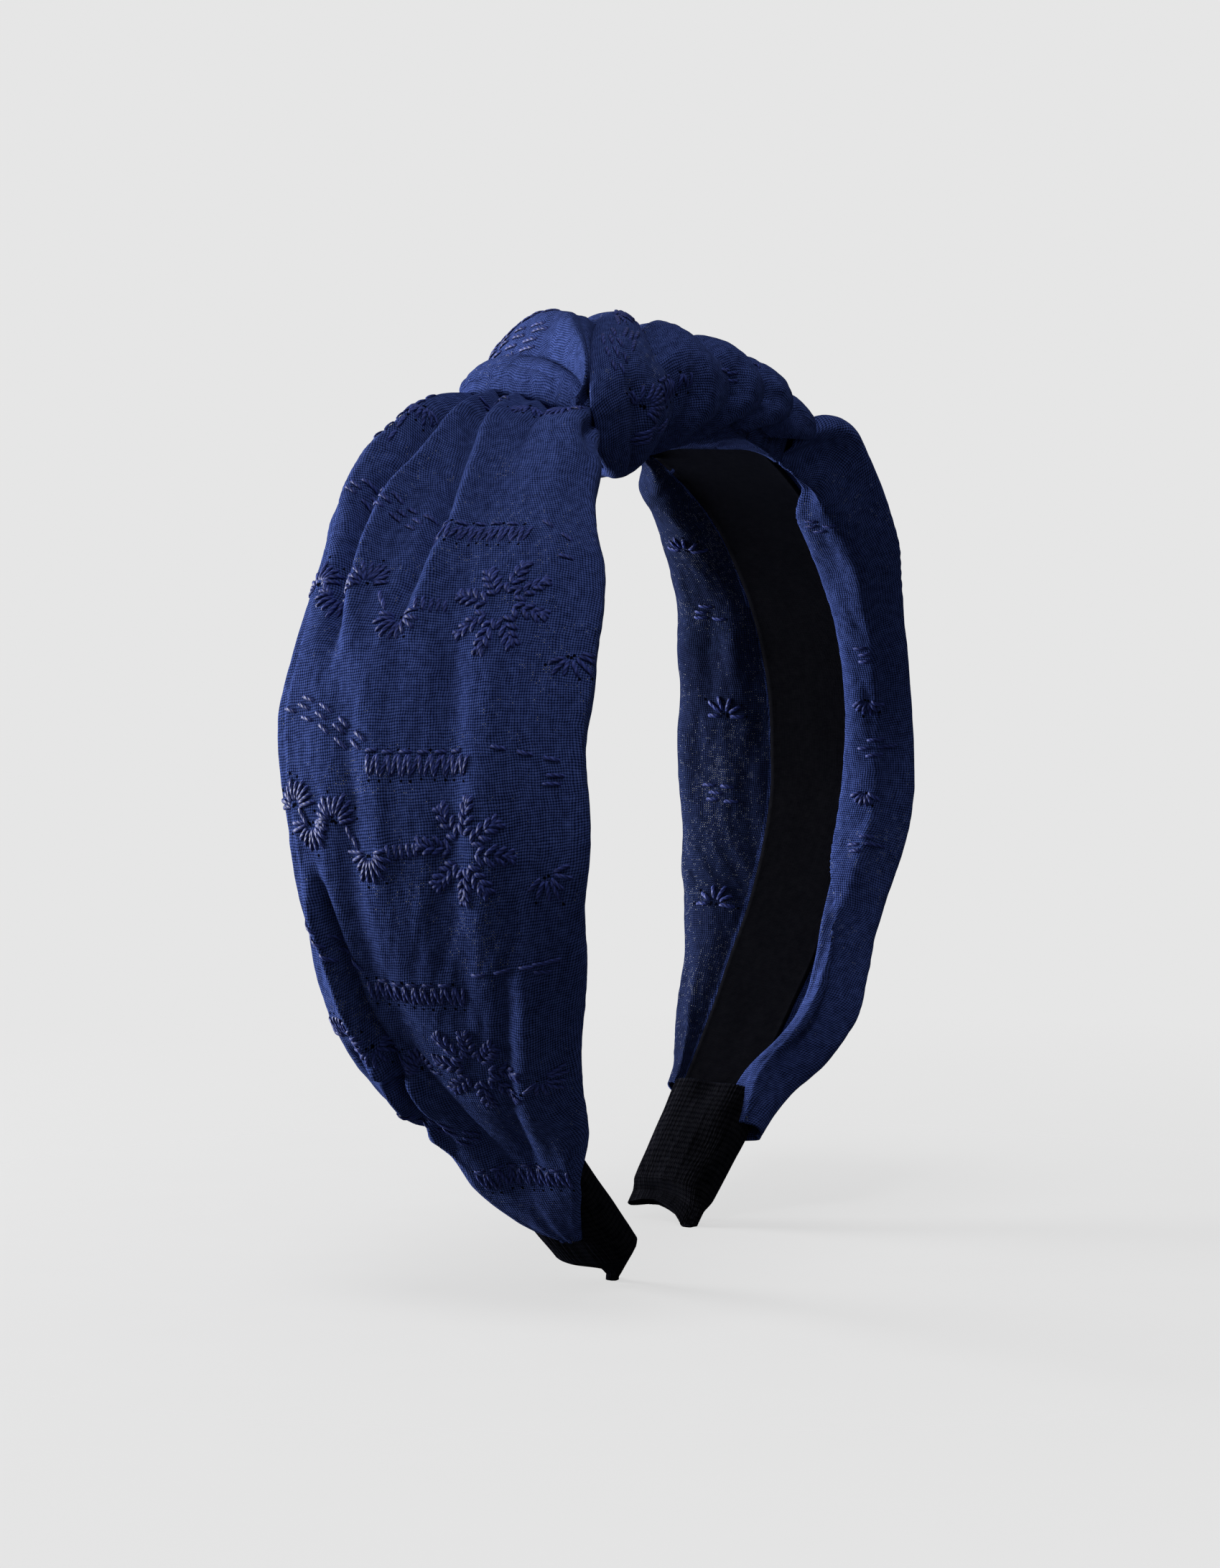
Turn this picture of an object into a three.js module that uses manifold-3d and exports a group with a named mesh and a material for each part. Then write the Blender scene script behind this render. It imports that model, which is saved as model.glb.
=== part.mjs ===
// Knotted fabric headband: a springy flat band bent into an arch, a black ribbon
// lining on its inner face, a folded ribbon cap on each tip, and two strips of
// embroidered cotton that are wrapped round the legs and looped through each
// other in a knot over the crown.
//
// Millimetres, +Z up. +X runs from leg to leg and -Y is the front of the arch,
// the side that faces forward when it is worn. The arch stands on its two tips.
//
// Every piece is laid out in band coordinates (s, w, n):
//   s  length along the band from the middle of the crown, minus on the left leg (-X)
//   w  distance across the band, minus towards the front (-Y)
//   n  distance out of the band's middle surface, minus towards the head
import * as THREE from 'three';
import { mergeVertices } from 'three/addons/utils/BufferGeometryUtils.js';
import Module from 'manifold-3d';

// ---- arch -----------------------------------------------------------------
const HALF_WIDTH = 69.6;        // band's middle surface to the middle plane, at the widest level
const CROWN_Z = 127.4;          // band's middle surface at the crown, above the tips' centres
const WIDEST_Z = 67.8;          // level at which the arch is widest
const TIP_HALF_GAP = 26.9;      // band's middle surface to the middle plane, at the tips
const TUCK = 1.63;              // how early the legs start to curve back in
const LEAN_LEFT = -0.125;       // how far the left tip stands forward, as a share of the height
const LEAN_RIGHT = 0.044;       // how far the right tip stands back
const LEAN_POWER = 1.685;       // the lean grows towards the tips
const OVERRUN = 6;              // the caps' pinched ends are cut off by the floor plane before this
const FLOOR_Z = -2.5;           // the plane that the caps stand on
const SHIFT = [0.061, 5.218, 2.5]; // puts the origin under the middle of the whole object

// ---- band, lining and caps --------------------------------------------------
const BAND_WIDTH = [[0, 25], [60, 21], [92, 19.5], [122, 18], [139, 17], [153, 15.2], [168, 13.5], [190, 12.5]];
const BAND_THICK = 1.6;
const LINING_THICK = 0.7;
const LINING_INSET = 0.4;       // the ribbon stops this far inside each edge of the band
const GAP = 0.3;                // between pieces that touch
const BAND_END = 180.5;         // the band and its lining end inside the caps
const CAP_START = 161.0;
const CAP_THICK = 0.8;
const CAP_END = 184.3 + OVERRUN;
const PINCH_START = 181.3;      // the ribbon is pressed flat past the end of the band
const PINCH_FULL = 184.4;
const PINCH_THICK = 1.0;        // its two layers, pressed together
const PINCH_NARROW = 1.6;       // how far each corner is drawn in

// ---- flex lines: where each leg springs away from the crown -----------------
const FLEX_LEFT = -30.5;
const FLEX_RIGHT = 38.0;
const FLEX_GAP = 0.6;           // in the band and the lining

// ---- fabric -----------------------------------------------------------------
const CLOTH = 0.8;              // two folded layers of cotton, pressed
const FOLD_R = 1.9;             // half the height of the fold along each edge
// [distance from the crown, front fold, back fold, lift off the band, lift of the front fold]
const LEFT_STRIP = [
  [32.5, -17.5, 18.5, 2.5, 0.5], [38, -21, 19, 2.2, 0.3], [46, -24, 19, 1.6, 0], [54, -27.5, 17.5, 1.0, 0],
  [61, -31, 16, 0.8, 0], [69, -33.3, 15.6, 0.6, 0], [77, -34, 15.6, 0.6, 0], [84.5, -35, 16.5, 0.6, 0],
  [92, -35, 16, 0.6, 0], [100, -35, 15, 0.6, 0], [107, -34.6, 15.2, 0.6, 0], [115, -32, 16, 0.6, 0],
  [123, -29.4, 18, 0.6, 0], [130, -26, 18.5, 0.6, 0], [138, -22, 18, 0.5, 0], [146, -17.8, 17, 0.4, 0],
  [153, -14, 14.7, 0.3, 0], [159.5, -11.6, 12, 0.2, 0],
];
const RIGHT_STRIP = [
  [40.5, -18.4, 17.5, 5.5, 6.2], [46, -19.5, 20.6, 4.6, 4.6], [53.5, -20.2, 21.2, 3.0, 2.6], [61, -19.6, 22, 1.6, 1.0],
  [69, -17.5, 23, 0.9, 0.3], [76, -16.6, 24.5, 0.6, 0], [84, -15.8, 26.2, 0.6, 0], [92, -15.6, 26.8, 0.6, 0],
  [99, -15.6, 27.4, 0.6, 0], [107, -16, 26.7, 0.6, 0], [115, -15.6, 25, 0.6, 0], [122, -15.2, 23.2, 0.6, 0],
  [130, -15.4, 20.6, 0.6, 0], [137.5, -16.9, 17.5, 0.5, 0], [145, -17.6, 15.4, 0.4, 0],
  [153, -15.6, 12.9, 0.3, 0], [159.5, -11.8, 11.6, 0.2, 0],
];

// ---- knot -------------------------------------------------------------------
// The line along which the two loops press together runs across the crown at a slant.
const SEAM_S = -3.0;            // where it crosses the middle of the band
const SEAM_SLANT_FRONT = 1.55;
const SEAM_SLANT_BACK = 0.70;
const SEAM_LEAST = -27.2;       // it runs out at the pinch in front
const KNOT_GAP = 0.6;
const TUNNEL = 0.45;            // play between the band and the loops round it
// [share of the way along, height over the band, front, back, depth under the band]
const LEFT_LOOP = [
  [0, 5.5, -17.0, 18.0, -4.0], [0.22, 6.5, -16.6, 18.8, -4.4], [0.36, 9.0, -16.2, 18.6, -4.8],
  [0.55, 13.2, -15.8, 17.4, -5.2], [0.78, 15.0, -15.6, 16.4, -5.4], [1, 12.4, -15.6, 16.0, -5.4],
];
const RIGHT_LOOP = [
  [0, 11.4, -15.8, 15.6, -7.4], [0.15, 13.8, -16.6, 16.4, -7.2], [0.4, 14.2, -18.2, 17.0, -6.0],
  [0.65, 13.4, -18.8, 17.2, -4.8], [0.85, 12.0, -19.2, 17.2, -4.2], [1, 10.2, -19.2, 17.2, -3.8],
];

// ---- band coordinates ---------------------------------------------------------
function centre(side, q) {
  // q 0..1 is the upper half-ellipse, 1..2 and on is the leg below the widest level
  const p = new THREE.Vector3();
  if (q <= 1) {
    const a = q * Math.PI / 2;
    p.set(HALF_WIDTH * Math.sin(a), 0, WIDEST_Z + (CROWN_Z - WIDEST_Z) * Math.cos(a));
  } else {
    const u = q - 1;
    p.set(HALF_WIDTH - (HALF_WIDTH - TIP_HALF_GAP) * (TUCK * u * u + (1 - TUCK) * u ** 3), 0, WIDEST_Z * (1 - u));
  }
  const lean = side < 0 ? LEAN_LEFT : LEAN_RIGHT;
  p.y = lean * CROWN_Z * ((CROWN_Z - p.z) / CROWN_Z) ** LEAN_POWER;
  p.x *= side;
  return p;
}

function makeLeg(side) {
  const pts = [], along = [0];
  const N = 640, TOP = 2.12;
  for (let i = 0; i <= N; i++) {
    pts.push(centre(side, TOP * i / N));
    if (i) along.push(along[i - 1] + pts[i].distanceTo(pts[i - 1]));
  }
  return { side, pts, along, N };
}
const legs = { '-1': makeLeg(-1), '1': makeLeg(1) };

function frameAt(s) {
  const leg = legs[s < 0 ? '-1' : '1'];
  const a = Math.min(Math.abs(s), leg.along[leg.N] - 1e-6);
  let lo = 0, hi = leg.N;
  while (hi - lo > 1) {
    const m = (lo + hi) >> 1;
    if (leg.along[m] <= a) lo = m; else hi = m;
  }
  const t = (a - leg.along[lo]) / (leg.along[hi] - leg.along[lo]);
  const p = leg.pts[lo].clone().lerp(leg.pts[hi], t);
  const tan = new THREE.Vector3();
  for (const k of [-2, -1, 0, 1, 2]) {
    const i = Math.min(Math.max(lo + k, 0), leg.N - 1);
    tan.add(leg.pts[i + 1].clone().sub(leg.pts[i]).normalize());
  }
  tan.normalize();
  if (s < 0) tan.negate();                     // always points from left to right
  const flat = new THREE.Vector3(tan.x, 0, tan.z).normalize();
  const out = new THREE.Vector3(-flat.z, 0, flat.x);
  const across = new THREE.Vector3().crossVectors(out, tan).normalize();
  return { p, out, across };
}

const cache = new Map();
function at(s, w, n) {
  const key = s.toFixed(4);
  if (!cache.has(key)) cache.set(key, frameAt(s));
  const f = cache.get(key);
  return f.p.clone().addScaledVector(f.across, w).addScaledVector(f.out, n);
}

function table(rows, x, column = 1) {
  if (x <= rows[0][0]) return rows[0][column];
  for (let i = 1; i < rows.length; i++) {
    if (x <= rows[i][0]) {
      const t = (x - rows[i - 1][0]) / (rows[i][0] - rows[i - 1][0]);
      return rows[i - 1][column] + t * (rows[i][column] - rows[i - 1][column]);
    }
  }
  return rows[rows.length - 1][column];
}
const halfBand = (s) => table(BAND_WIDTH, Math.abs(s)) / 2;

// ---- solids -------------------------------------------------------------------
function closed(geometry) {
  geometry.deleteAttribute('normal');
  geometry.deleteAttribute('uv');
  const g = mergeVertices(geometry, 1e-3);
  const p = g.attributes.position, ix = g.index.array;
  const keep = [];
  for (let i = 0; i < ix.length; i += 3) {
    if (ix[i] !== ix[i + 1] && ix[i + 1] !== ix[i + 2] && ix[i] !== ix[i + 2]) keep.push(ix[i], ix[i + 1], ix[i + 2]);
  }
  const a = new THREE.Vector3(), b = new THREE.Vector3(), c = new THREE.Vector3();
  let volume = 0;
  for (let i = 0; i < keep.length; i += 3) {
    a.fromBufferAttribute(p, keep[i]); b.fromBufferAttribute(p, keep[i + 1]); c.fromBufferAttribute(p, keep[i + 2]);
    volume += a.dot(b.cross(c)) / 6;
  }
  if (volume < 0) for (let i = 0; i < keep.length; i += 3) [keep[i + 1], keep[i + 2]] = [keep[i + 2], keep[i + 1]];
  g.setIndex(keep);
  return g;
}

// A box bent through place(u, v, t), each from 0 to 1.
function bentBox(nu, nv, nt, place) {
  const g = new THREE.BoxGeometry(1, 1, 1, nu, nv, nt);
  const p = g.attributes.position;
  for (let i = 0; i < p.count; i++) {
    const q = place(p.getX(i) + 0.5, p.getY(i) + 0.5, p.getZ(i) + 0.5);
    p.setXYZ(i, q.x, q.y, q.z);
  }
  return closed(g);
}

// A square-sectioned ring bent through place(u, angle, t): u along the ring's axis,
// t 0 on its inner wall and 1 on its outer wall.
function bentSleeve(nu, na, place) {
  const profile = [];
  for (let i = 0; i <= nu; i++) profile.push(new THREE.Vector2(2, i / nu));
  for (let i = nu; i >= 0; i--) profile.push(new THREE.Vector2(1, i / nu));
  profile.push(new THREE.Vector2(2, 0));
  const g = new THREE.LatheGeometry(profile, na);
  const p = g.attributes.position;
  for (let i = 0; i < p.count; i++) {
    const x = p.getX(i), z = p.getZ(i);
    const r = Math.hypot(x, z);
    const k = Math.round(Math.atan2(x, z) / (2 * Math.PI) * na);
    const q = place(p.getY(i), ((k + na) % na) / na * 2 * Math.PI, r > 1.5 ? 1 : 0);
    p.setXYZ(i, q.x, q.y, q.z);
  }
  return closed(g);
}

// A strip of constant build: the band itself, or its lining.
function strip(s0, s1, inset, n0, n1, step = 6.5) {
  const k = Math.max(2, Math.round(Math.abs(s1 - s0) / step));
  return bentBox(k, 1, 1, (u, v, t) => {
    const s = s0 + (s1 - s0) * u;
    return at(s, (2 * v - 1) * (halfBand(s) - inset), n0 + (n1 - n0) * t);
  });
}

// The cloth round a leg, in section: in from the lining's front edge, round the
// front fold, over the band, round the back fold and in to the lining's back edge.
function section(a, front, back, lift, frontLift) {
  const h = halfBand(a), top = BAND_THICK / 2 + GAP + CLOTH / 2, low = -BAND_THICK / 2 - GAP - LINING_THICK / 2;
  const edge = h + CLOTH / 2 + GAP + 0.35;
  const mf = (front - edge) / 2, mb = (back + edge) / 2, f = frontLift;
  return [
    [-edge, low], [mf, low - 0.9 + f * 0.4], [front + FOLD_R, low - 0.2 + f], [front + 0.5, low + 0.75 + f],
    [front, (top + low) / 2 + 0.4 + f], [front + 0.5, top + 0.2 + f], [front + FOLD_R, top + 0.9 + f],
    [mf, top + 1.0 + Math.max(lift, f * 0.8)], [-h * 0.55, top + 0.3 + lift], [0, top + 0.2 + lift], [h * 0.55, top + 0.3 + lift],
    [mb, top + 1.0 + lift], [back - FOLD_R, top + 0.9], [back - 0.5, top + 0.2],
    [back, (top + low) / 2 + 0.4], [back - 0.5, low + 0.75], [back - FOLD_R, low - 0.2],
    [mb, low - 0.9], [edge, low],
  ];
}

function clothLeg(rows, side) {
  const first = rows[0][0], last = rows[rows.length - 1][0];
  const K = section(first, ...rows[0].slice(1)).length;
  const nu = Math.round((last - first) / 5.5);
  return bentBox(nu, K - 1, 1, (u, v, t) => {
    const a = first + (last - first) * u;
    const line = section(a, ...[1, 2, 3, 4].map((k) => table(rows, a, k)));
    const i = Math.round(v * (K - 1));
    const p = line[i], q0 = line[Math.max(i - 1, 0)], q1 = line[Math.min(i + 1, K - 1)];
    const dx = q1[0] - q0[0], dy = q1[1] - q0[1], d = Math.hypot(dx, dy);
    const off = (t - 0.5) * CLOTH;
    return at(side * a, p[0] - dy / d * off, p[1] + dx / d * off);
  });
}

// A loop of gathered cloth round the crown, with the band's tunnel through it.
function loop(rows, start, end, nu, na) {
  return bentSleeve(nu, na, (u, angle, t) => {
    const c = Math.cos(angle), z = Math.sin(angle);
    const height = table(rows, u, 1), front = table(rows, u, 2), back = table(rows, u, 3), under = table(rows, u, 4);
    const power = 0.8;
    const ec = Math.sign(c) * Math.abs(c) ** power, ez = Math.sign(z) * Math.abs(z) ** power;
    const wo = (front + back) / 2 + ec * (back - front) / 2, no = (height + under) / 2 + ez * (height - under) / 2;
    const m = Math.max(Math.abs(c), Math.abs(z));
    const w = t === 1 ? wo : (halfBand(0) + TUNNEL) * c / m;
    const s = start(w) + (end(w) - start(w)) * u;
    if (t === 1) return at(s, w, no);
    const top = BAND_THICK / 2 + TUNNEL, low = -BAND_THICK / 2 - GAP - LINING_THICK - TUNNEL;
    return at(s, w, (top + low) / 2 + z / m * (top - low) / 2);
  });
}

const wasm = await Module();
wasm.setup();
function toSolid(geometry) {
  return new wasm.Manifold(new wasm.Mesh({
    numProp: 3,
    vertProperties: new Float32Array(geometry.attributes.position.array),
    triVerts: new Uint32Array(geometry.index.array),
  }));
}
function fromSolid(solid) {
  const m = solid.getMesh();
  const g = new THREE.BufferGeometry();
  g.setAttribute('position', new THREE.BufferAttribute(new Float32Array(m.vertProperties), 3));
  g.setIndex(new THREE.BufferAttribute(new Uint32Array(m.triVerts), 1));
  return g;
}

// A ribbon cap: folded over the end of the band, pinched to a thin edge past it,
// and cut flat where it stands.
function cap(side) {
  const top = BAND_THICK / 2 + GAP, low = -BAND_THICK / 2 - GAP - LINING_THICK - GAP;
  const stations = [CAP_START, 164.5, 168, 171.5, 175, 178.5, PINCH_START, (PINCH_START + PINCH_FULL) / 2, PINCH_FULL, CAP_END];
  const middle = (top + low) / 2;
  const body = bentBox(stations.length - 1, 3, 2, (u, v, t) => {
    const a = stations[Math.round(u * (stations.length - 1))];
    const pinch = Math.min(Math.max((a - PINCH_START) / (PINCH_FULL - PINCH_START), 0), 1);
    const h = halfBand(a) + GAP + CAP_THICK - PINCH_NARROW * pinch;
    const along = (a - CAP_START) / (CAP_END - CAP_START);
    const bulge = 0.5 * Math.sin(Math.PI * Math.min(1, along * 1.15));
    const edge = Math.abs(2 * v - 1) > 0.9 ? 0.35 : 0;
    const outer = top + CAP_THICK + bulge - edge, inner = low - CAP_THICK - bulge + edge;
    const full = inner + (outer - inner) * t, flat = middle + PINCH_THICK * (t - 0.5);
    return at(side * a, (2 * v - 1) * h, full + (flat - full) * pinch);
  });
  const pocket = bentBox(8, 1, 1, (u, v, t) => {
    const a = CAP_START - 4 + (BAND_END + GAP - CAP_START + 4) * u;
    return at(side * a, (2 * v - 1) * (halfBand(a) + GAP), low + (top - low) * t);
  });
  const floor = new THREE.BoxGeometry(300, 200, 40);
  floor.translate(0, 0, FLOOR_Z - 20);
  return fromSolid(toSolid(body).subtract(toSolid(pocket)).subtract(toSolid(closed(floor))));
}

// ---- assembly ------------------------------------------------------------------
const cotton = () => new THREE.MeshStandardMaterial({ color: 0x1f3066, roughness: 0.9, metalness: 0 });
const ribbon = () => new THREE.MeshStandardMaterial({ color: 0x101216, roughness: 0.75, metalness: 0 });
const grosgrain = () => new THREE.MeshStandardMaterial({ color: 0x0c0d10, roughness: 0.7, metalness: 0 });
const plastic = () => new THREE.MeshStandardMaterial({ color: 0x1a1a1c, roughness: 0.5, metalness: 0 });

const group = new THREE.Group();
group.position.set(...SHIFT);
function add(name, geometry, material) {
  const mesh = new THREE.Mesh(geometry, material);
  mesh.name = name;
  group.add(mesh);
}

const half = BAND_THICK / 2, g2 = FLEX_GAP / 2;
add('spring_band_crown', strip(FLEX_LEFT + g2, FLEX_RIGHT - g2, 0, -half, half), plastic());
add('spring_band_left', strip(-BAND_END, FLEX_LEFT - g2, 0, -half, half), plastic());
add('spring_band_right', strip(FLEX_RIGHT + g2, BAND_END, 0, -half, half), plastic());

const l1 = -half - GAP, l0 = l1 - LINING_THICK;
add('lining_ribbon_crown', strip(FLEX_LEFT + g2, FLEX_RIGHT - g2, LINING_INSET, l0, l1), ribbon());
add('lining_ribbon_left', strip(-BAND_END, FLEX_LEFT - g2, LINING_INSET, l0, l1), ribbon());
add('lining_ribbon_right', strip(FLEX_RIGHT + g2, BAND_END, LINING_INSET, l0, l1), ribbon());

add('tip_cap_left', cap(-1), grosgrain());
add('tip_cap_right', cap(1), grosgrain());

add('fabric_strip_left', clothLeg(LEFT_STRIP, -1), cotton());
add('fabric_strip_right', clothLeg(RIGHT_STRIP, 1), cotton());

const seam = (w) => Math.max(SEAM_LEAST, SEAM_S + (w < 0 ? SEAM_SLANT_FRONT : SEAM_SLANT_BACK) * w);
const leftFrom = () => FLEX_LEFT + 0.9;
add('knot_loop_left', loop(LEFT_LOOP, leftFrom, (w) => seam(w) - KNOT_GAP / 2, 9, 24), cotton());
add('knot_loop_right', loop(RIGHT_LOOP, (w) => seam(w) + KNOT_GAP / 2, () => FLEX_RIGHT - 0.8, 9, 24), cotton());

export default group;
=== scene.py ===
# Knotted headband: the looks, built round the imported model. Metres, in its frame.
import math

import bpy
import numpy as np
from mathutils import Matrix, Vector


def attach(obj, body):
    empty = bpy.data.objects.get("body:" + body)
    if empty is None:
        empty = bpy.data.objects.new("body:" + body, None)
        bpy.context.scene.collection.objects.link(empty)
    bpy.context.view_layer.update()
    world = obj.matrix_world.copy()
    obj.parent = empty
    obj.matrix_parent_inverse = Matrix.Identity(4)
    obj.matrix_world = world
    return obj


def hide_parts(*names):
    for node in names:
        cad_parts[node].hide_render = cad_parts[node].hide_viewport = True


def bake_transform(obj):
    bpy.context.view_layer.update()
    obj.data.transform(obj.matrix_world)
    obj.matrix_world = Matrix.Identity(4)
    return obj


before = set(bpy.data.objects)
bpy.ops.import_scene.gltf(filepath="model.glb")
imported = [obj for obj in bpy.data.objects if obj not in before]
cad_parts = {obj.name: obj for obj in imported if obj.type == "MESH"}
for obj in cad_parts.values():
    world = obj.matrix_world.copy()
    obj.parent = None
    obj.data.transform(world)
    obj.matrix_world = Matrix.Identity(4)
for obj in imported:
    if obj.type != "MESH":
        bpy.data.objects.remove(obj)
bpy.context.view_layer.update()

# ---- camera -----------------------------------------------------------------
AZIMUTH, ELEVATION, DISTANCE = math.radians(-58.38), math.radians(4.17), 0.815
TARGET = Vector((0.000061, 0.005218, 0.0775))
back = Vector((math.sin(AZIMUTH) * math.cos(ELEVATION), -math.cos(AZIMUTH) * math.cos(ELEVATION), math.sin(ELEVATION)))
camera = bpy.data.objects.new("camera", bpy.data.cameras.new("camera"))
bpy.context.scene.collection.objects.link(camera)
camera.location = TARGET + back * DISTANCE
camera.rotation_mode = "QUATERNION"
camera.rotation_quaternion = (-back).to_track_quat("-Z", "Y")
camera.data.sensor_width = 36
camera.data.lens = 121.6
camera.data.shift_y = -0.0225
camera.data.clip_start, camera.data.clip_end = 0.01, 50
bpy.context.scene.camera = camera
bpy.context.scene.view_settings.view_transform = "Standard"

# ---- band coordinates, as the CAD model lays them out (millimetres) -----------
HALF_WIDTH, CROWN_Z, WIDEST_Z, TIP_HALF_GAP, TUCK = 69.6, 127.4, 67.8, 26.9, 1.63
LEAN_LEFT, LEAN_RIGHT, LEAN_POWER = -0.125, 0.044, 1.685
SHIFT = np.array([0.061, 5.218, 2.5])
BAND_WIDTH = np.array([[0, 25], [60, 21], [92, 19.5], [122, 18], [139, 17], [153, 15.2], [168, 13.5], [190, 12.5]], float)
FLEX_LEFT, FLEX_RIGHT = -30.5, 38.0


def half_band(a):
    return np.interp(np.abs(a), BAND_WIDTH[:, 0], BAND_WIDTH[:, 1]) / 2


def _leg(side):
    q = np.linspace(0, 2.12, 1400)
    u = q - 1
    x = np.where(q <= 1, HALF_WIDTH * np.sin(q * np.pi / 2), HALF_WIDTH - (HALF_WIDTH - TIP_HALF_GAP) * (TUCK * u * u + (1 - TUCK) * u ** 3))
    z = np.where(q <= 1, WIDEST_Z + (CROWN_Z - WIDEST_Z) * np.cos(q * np.pi / 2), WIDEST_Z * (1 - u))
    lean = LEAN_LEFT if side < 0 else LEAN_RIGHT
    y = lean * CROWN_Z * (np.clip(CROWN_Z - z, 0, None) / CROWN_Z) ** LEAN_POWER
    p = np.stack([side * x, y, z], 1)
    along = np.concatenate([[0], np.cumsum(np.linalg.norm(np.diff(p, axis=0), axis=1))])
    return along, p


_aL, _pL = _leg(-1)
_aR, _pR = _leg(1)
_s = np.concatenate([-_aL[::-1], _aR[1:]])
_p = np.concatenate([_pL[::-1], _pR[1:]])
GRID = np.arange(-190.0, 190.01, 0.25)
CENTRE = np.stack([np.interp(GRID, _s, _p[:, k]) for k in range(3)], 1)
_t = np.gradient(CENTRE, axis=0)
_k = np.ones(7) / 7
_t = np.stack([np.convolve(np.pad(_t[:, k], 3, mode="edge"), _k, "valid") for k in range(3)], 1)
_t /= np.linalg.norm(_t, axis=1)[:, None]
_f = np.stack([_t[:, 0], np.zeros(len(_t)), _t[:, 2]], 1)
_f /= np.linalg.norm(_f, axis=1)[:, None]
OUT = np.stack([-_f[:, 2], np.zeros(len(_f)), _f[:, 0]], 1)
ACROSS = np.cross(OUT, _t)
ACROSS /= np.linalg.norm(ACROSS, axis=1)[:, None]


def at(s, w, n):
    """Band coordinates in millimetres to a point in metres."""
    s, w, n = np.broadcast_arrays(np.asarray(s, float), np.asarray(w, float), np.asarray(n, float))
    f = np.clip((s - GRID[0]) / 0.25, 0, len(GRID) - 1.001)
    i = f.astype(int)
    t = (f - i)[..., None]
    c = CENTRE[i] * (1 - t) + CENTRE[i + 1] * t
    o = OUT[i] * (1 - t) + OUT[i + 1] * t
    x = ACROSS[i] * (1 - t) + ACROSS[i + 1] * t
    return (c + x * w[..., None] + o * n[..., None] + SHIFT) / 1000


# ---- small tools --------------------------------------------------------------
def noise(x, y, seed=0):
    x, y = np.broadcast_arrays(np.asarray(x, float), np.asarray(y, float))
    xi, yi = np.floor(x).astype(np.int64), np.floor(y).astype(np.int64)
    fx, fy = x - xi, y - yi

    def h(a, b):
        k = (a * 374761393 + b * 668265263 + seed * 974634777) & 0xFFFFFFFF
        k = ((k ^ (k >> 13)) * 1274126177) & 0xFFFFFFFF
        return ((k ^ (k >> 16)) & 0xFFFF) / 32767.5 - 1

    u, v = fx ** 3 * (fx * (6 * fx - 15) + 10), fy ** 3 * (fy * (6 * fy - 15) + 10)
    return (h(xi, yi) * (1 - u) + h(xi + 1, yi) * u) * (1 - v) + (h(xi, yi + 1) * (1 - u) + h(xi + 1, yi + 1) * u) * v


def smooth(x, lo, hi):
    t = np.clip((np.asarray(x, float) - lo) / (hi - lo), 0, 1)
    return t * t * (3 - 2 * t)


def spline(x, xs, ys):
    """Monotone-ish smooth interpolation of a table (Catmull-Rom slopes)."""
    xs, ys = np.asarray(xs, float), np.asarray(ys, float)
    m = np.gradient(ys, xs)
    x = np.clip(x, xs[0], xs[-1])
    i = np.clip(np.searchsorted(xs, x, "right") - 1, 0, len(xs) - 2)
    h = xs[i + 1] - xs[i]
    t = (x - xs[i]) / h
    return ((1 + 2 * t) * (1 - t) ** 2 * ys[i] + t * (1 - t) ** 2 * h * m[i] + t * t * (3 - 2 * t) * ys[i + 1] + t * t * (t - 1) * h * m[i + 1])


def normals(P):
    du = np.gradient(P, axis=0)
    dv = np.gradient(P, axis=1)
    n = np.cross(du, dv)
    return n / np.maximum(np.linalg.norm(n, axis=2), 1e-12)[..., None]


def mesh_object(name, verts, faces, uv=None, material=None, smooth_shade=True):
    me = bpy.data.meshes.new(name)
    me.from_pydata(verts.tolist(), [], faces.tolist() if isinstance(faces, np.ndarray) else faces)
    me.update()
    if uv is not None:
        layer = me.uv_layers.new(name="UVMap")
        idx = np.zeros(len(me.loops), np.int32)
        me.loops.foreach_get("vertex_index", idx)
        layer.data.foreach_set("uv", np.asarray(uv, np.float32)[idx].ravel())
    if smooth_shade:
        me.polygons.foreach_set("use_smooth", [True] * len(me.polygons))
    o = bpy.data.objects.new(name, me)
    bpy.context.scene.collection.objects.link(o)
    if material is not None:
        me.materials.append(material)
    return o


def cloth_object(name, P, thick, uv, material, flip=False):
    """A closed thin body round the grid P (nu, nv, 3), thick metres through."""
    nu, nv = P.shape[:2]
    N = normals(P) * (-1 if flip else 1)
    top, low = P + N * thick / 2, P - N * thick / 2
    verts = np.concatenate([top.reshape(-1, 3), low.reshape(-1, 3)])
    idx = np.arange(nu * nv).reshape(nu, nv)
    a, b, c, d = idx[:-1, :-1].ravel(), idx[1:, :-1].ravel(), idx[1:, 1:].ravel(), idx[:-1, 1:].ravel()
    q = np.stack([a, b, c, d], 1)
    if flip:
        q = q[:, ::-1]
    K = nu * nv
    under = q[:, ::-1] + K
    rims = []
    edges = [idx[:, 0], idx[-1, :], idx[::-1, -1], idx[0, ::-1]]
    for e in edges:
        r = np.stack([e[1:], e[:-1], e[:-1] + K, e[1:] + K], 1)
        rims.append(r[:, ::-1] if flip else r)
    faces = np.concatenate([q, under] + rims)
    uvs = np.concatenate([uv.reshape(-1, 2)] * 2)
    o = mesh_object(name, verts, faces, uvs, material)
    return o


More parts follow.
